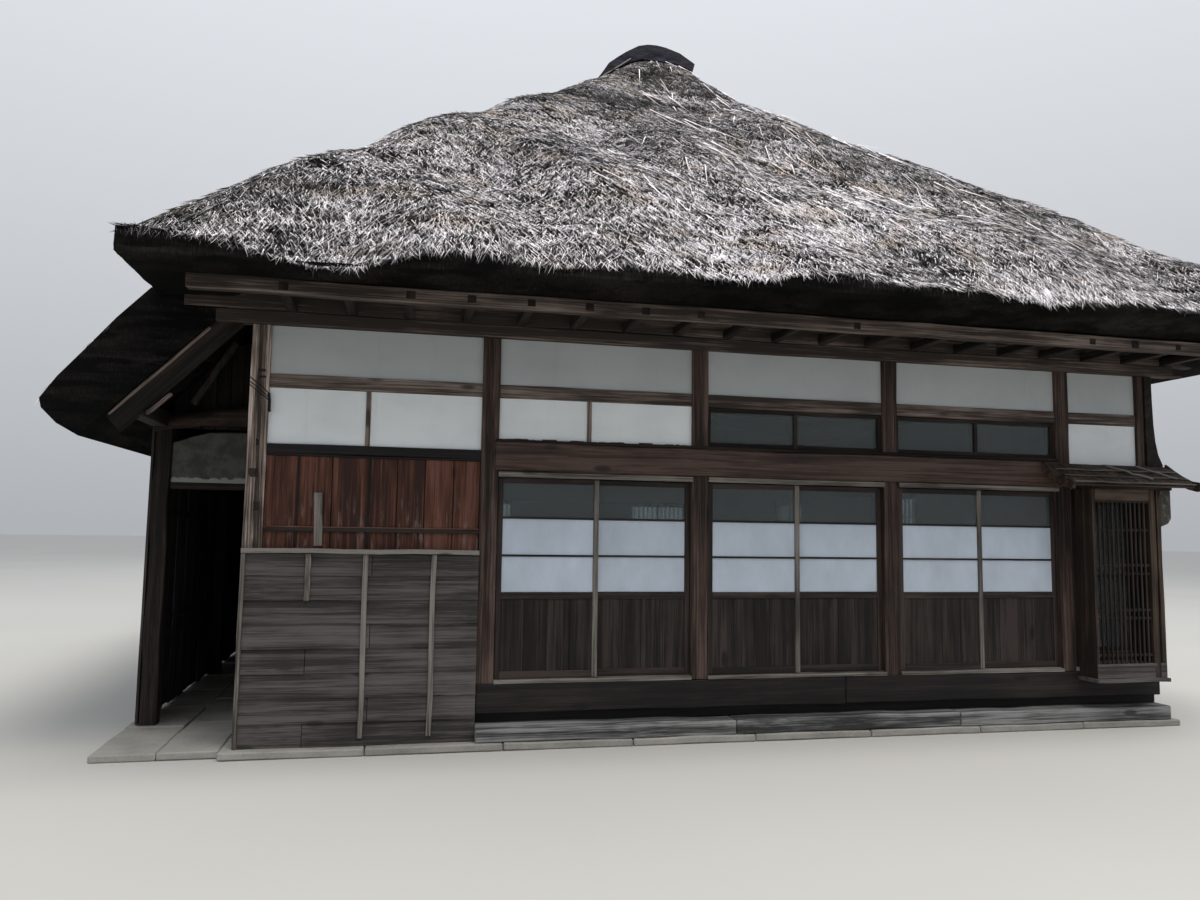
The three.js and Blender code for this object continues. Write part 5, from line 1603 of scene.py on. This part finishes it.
class FARMHOUSE_OT_ridge_hood(bpy.types.Operator):
    """Bends the dark sheets over the ridge, with packed reed under them at both ends"""

    bl_idname = "farmhouse.ridge_hood"
    bl_label = "Ridge hood"

    def execute(self, context):
        low, high = house_box("ridge_cap")
        work = Work("ridge_hood", 170)
        for i, (start, end) in enumerate(evenly(low.y, high.y, 0.74)):
            lift = 0.006 * (i % 2)
            outer = [(x, z + lift) for x, z in HOOD_TOP]
            span = (start - 0.012 * (i > 0), end)
            work.prism(outer + HOOD_UNDER, "y", span, cap_finish(), cuts=1, wander=0.004)
        work.done(["ridge_cap"], bevel=0.006)

        work = Work("ridge_roll", 171)
        reed = [(x, z + 0.01) for x, z in HOOD_UNDER[1:-1]] + [(3.7, 7.75), (4.8, 7.75)]
        span = (low.y + 0.05, high.y - 0.05)
        work.prism(reed, "y", span, thatch_finish("reed_cut", "x"), cuts=20, wander=0.006)
        work.done(bevel=0)

        work = Work("ridge_sticks", 172)
        front = low.y - 0.02
        work.strut((3.6, front, 7.86), (3.977, front, 8.144), 0.016, 0.016, "track_wood", tone=2.2, cuts=2)
        # Three more lie on the slope in front of it, x and z of their ends
        depths = np.linspace(LIPS["front"], low.y, 40)
        slipped = (((3.898, 7.86), (3.937, 7.992)), ((4.24, 7.94), (4.34, 7.85)), ((4.6, 7.8), (4.68, 7.68)))
        for stick in slipped:
            tops = [thatch_top(x + 0 * depths, depths) for x, z in stick]
            ends = [(x, np.interp(z - 0.05, top, depths), z) for (x, z), top in zip(stick, tops)]
            work.strut(*ends, 0.014, 0.014, "track_wood", tone=2.2, cuts=2)
        work.done(bevel=0.004)
        return {"FINISHED"}


class FARMHOUSE_OT_inside(bpy.types.Operator):
    """Finishes the floor and the roof timbers, which hardly show"""

    bl_idname = "farmhouse.inside"
    bl_label = "Floor and roof timbers"

    def execute(self, context):
        dress("floor_boards", timber_finish("hewn_cedar", "x"))
        dress("roof_frame", timber_finish("smoked_timber", "x"))
        return {"FINISHED"}


class FARMHOUSE_OT_stage(bpy.types.Operator):
    """Lays the studio floor, sets the soft lights and places the camera"""

    bl_idname = "farmhouse.stage"
    bl_label = "Stage, lights and camera"

    def execute(self, context):
        bpy.ops.object.select_all(action="DESELECT")
        bpy.ops.mesh.primitive_circle_add(vertices=96, radius=160, fill_type="NGON", location=(0, 0, -0.002))
        floor = context.object
        bpy.ops.object.transform_apply(location=True, rotation=False, scale=False)
        floor.name = "studio_floor"
        floor.data.materials.append(stage_finish())
        world = context.scene.world or bpy.data.worlds.new("studio")
        context.scene.world = world
        world.use_nodes = True
        world.node_tree.nodes.clear()
        tree = world.node_tree
        aim = add(tree, "ShaderNodeTexCoord").outputs["Generated"]
        height = add(tree, "ShaderNodeSeparateXYZ", None, {0: aim}).outputs["Z"]
        fade = {0: height, 1: 0.0, 2: 0.6, 3: 0.5, 4: 0.95}
        strength = add(tree, "ShaderNodeMapRange", None, fade).outputs[0]
        sky = add(tree, "ShaderNodeBackground", None, {"Color": linear("#eef2f8"), "Strength": strength})
        out = add(tree, "ShaderNodeOutputWorld")
        tree.links.new(sky.outputs[0], out.inputs[0])
        self.light("key", (4, -16, 30), (0, -2, 4), 16, 9000, "#fffaf2")
        self.light("fill", (-24, -14, 20), (0, 0, 3), 14, 500, "#f2f6ff")
        self.light("back", (6, 26, 24), (0, 0, 5), 14, 2600, "#fbfbff")
        self.camera()
        context.scene.view_settings.view_transform = "Standard"
        return {"FINISHED"}

    def light(self, name, place, target, size, power, code):
        """A large square soft light."""
        bpy.ops.object.light_add(type="AREA", location=place)
        lamp = bpy.context.object
        lamp.name = name
        lamp.data.size = size
        lamp.data.energy = power
        lamp.data.color = linear(code)[:3]
        lamp.rotation_euler = (Vector(target) - Vector(place)).to_track_quat("-Z", "Y").to_euler()

    def camera(self):
        """The camera stands where the photographer stood, a little left of the middle."""
        yaw, pitch, roll = math.radians(12.34), math.radians(5.18), math.radians(0.83)
        level = Vector((math.sin(yaw), math.cos(yaw), 0))
        right = Vector((math.cos(yaw), -math.sin(yaw), 0))
        ahead = level * math.cos(pitch) + Vector((0, 0, math.sin(pitch)))
        over = level * -math.sin(pitch) + Vector((0, 0, math.cos(pitch)))
        side = right * math.cos(roll) + over * math.sin(roll)
        up = over * math.cos(roll) - right * math.sin(roll)
        bpy.ops.object.camera_add(location=(0, 0, 0))
        camera = bpy.context.object
        place = Matrix.Translation((-2.691, -13.446, 1.812))
        camera.matrix_world = place @ Matrix((side, up, -ahead)).transposed().to_4x4()
        camera.data.lens = 27
        camera.data.sensor_width = 36
        camera.data.sensor_fit = "HORIZONTAL"
        camera.data.clip_end = 500
        bpy.context.scene.camera = camera


class FARMHOUSE_PT_panel(bpy.types.Panel):
    """Lists the steps of the farmhouse"""

    bl_idname = "FARMHOUSE_PT_panel"
    bl_label = "Thatched farmhouse"
    bl_space_type = "VIEW_3D"
    bl_region_type = "UI"
    bl_category = "Farmhouse"

    def draw(self, context):
        for step in STEPS:
            self.layout.operator(step.bl_idname)
        for settings in (context.scene.farmhouse_sizes, context.scene.farmhouse_colours):
            box = self.layout.box()
            for name in settings.__annotations__:
                box.prop(settings, name)


STEPS = (
    FARMHOUSE_OT_stage,
    FARMHOUSE_OT_footings,
    FARMHOUSE_OT_front_frame,
    FARMHOUSE_OT_eaves,
    FARMHOUSE_OT_front_plaster,
    FARMHOUSE_OT_front_boards,
    FARMHOUSE_OT_transoms,
    FARMHOUSE_OT_doors,
    FARMHOUSE_OT_lattice_bay,
    FARMHOUSE_OT_pent_roof,
    FARMHOUSE_OT_side_walls,
    FARMHOUSE_OT_lean_to,
    FARMHOUSE_OT_thatch,
    FARMHOUSE_OT_straw,
    FARMHOUSE_OT_ridge_hood,
    FARMHOUSE_OT_inside,
)
CLASSES = (FarmhouseColours, FarmhouseSizes) + STEPS + (FARMHOUSE_PT_panel,)


def register():
    """Makes the classes and settings known to Blender."""
    for each in CLASSES:
        bpy.utils.register_class(each)
    bpy.types.Scene.farmhouse_colours = bpy.props.PointerProperty(type=FarmhouseColours)
    bpy.types.Scene.farmhouse_sizes = bpy.props.PointerProperty(type=FarmhouseSizes)


def unregister():
    """Takes them away again."""
    del bpy.types.Scene.farmhouse_sizes
    del bpy.types.Scene.farmhouse_colours
    for each in reversed(CLASSES):
        bpy.utils.unregister_class(each)


def main():
    """Builds the whole farmhouse step by step."""
    register()
    for step in STEPS:
        group, name = step.bl_idname.split(".")
        getattr(getattr(bpy.ops, group), name)()
    for mesh in blanks.values():
        bpy.data.meshes.remove(mesh)
    blanks.clear()


if __name__ == "__main__":
    main()
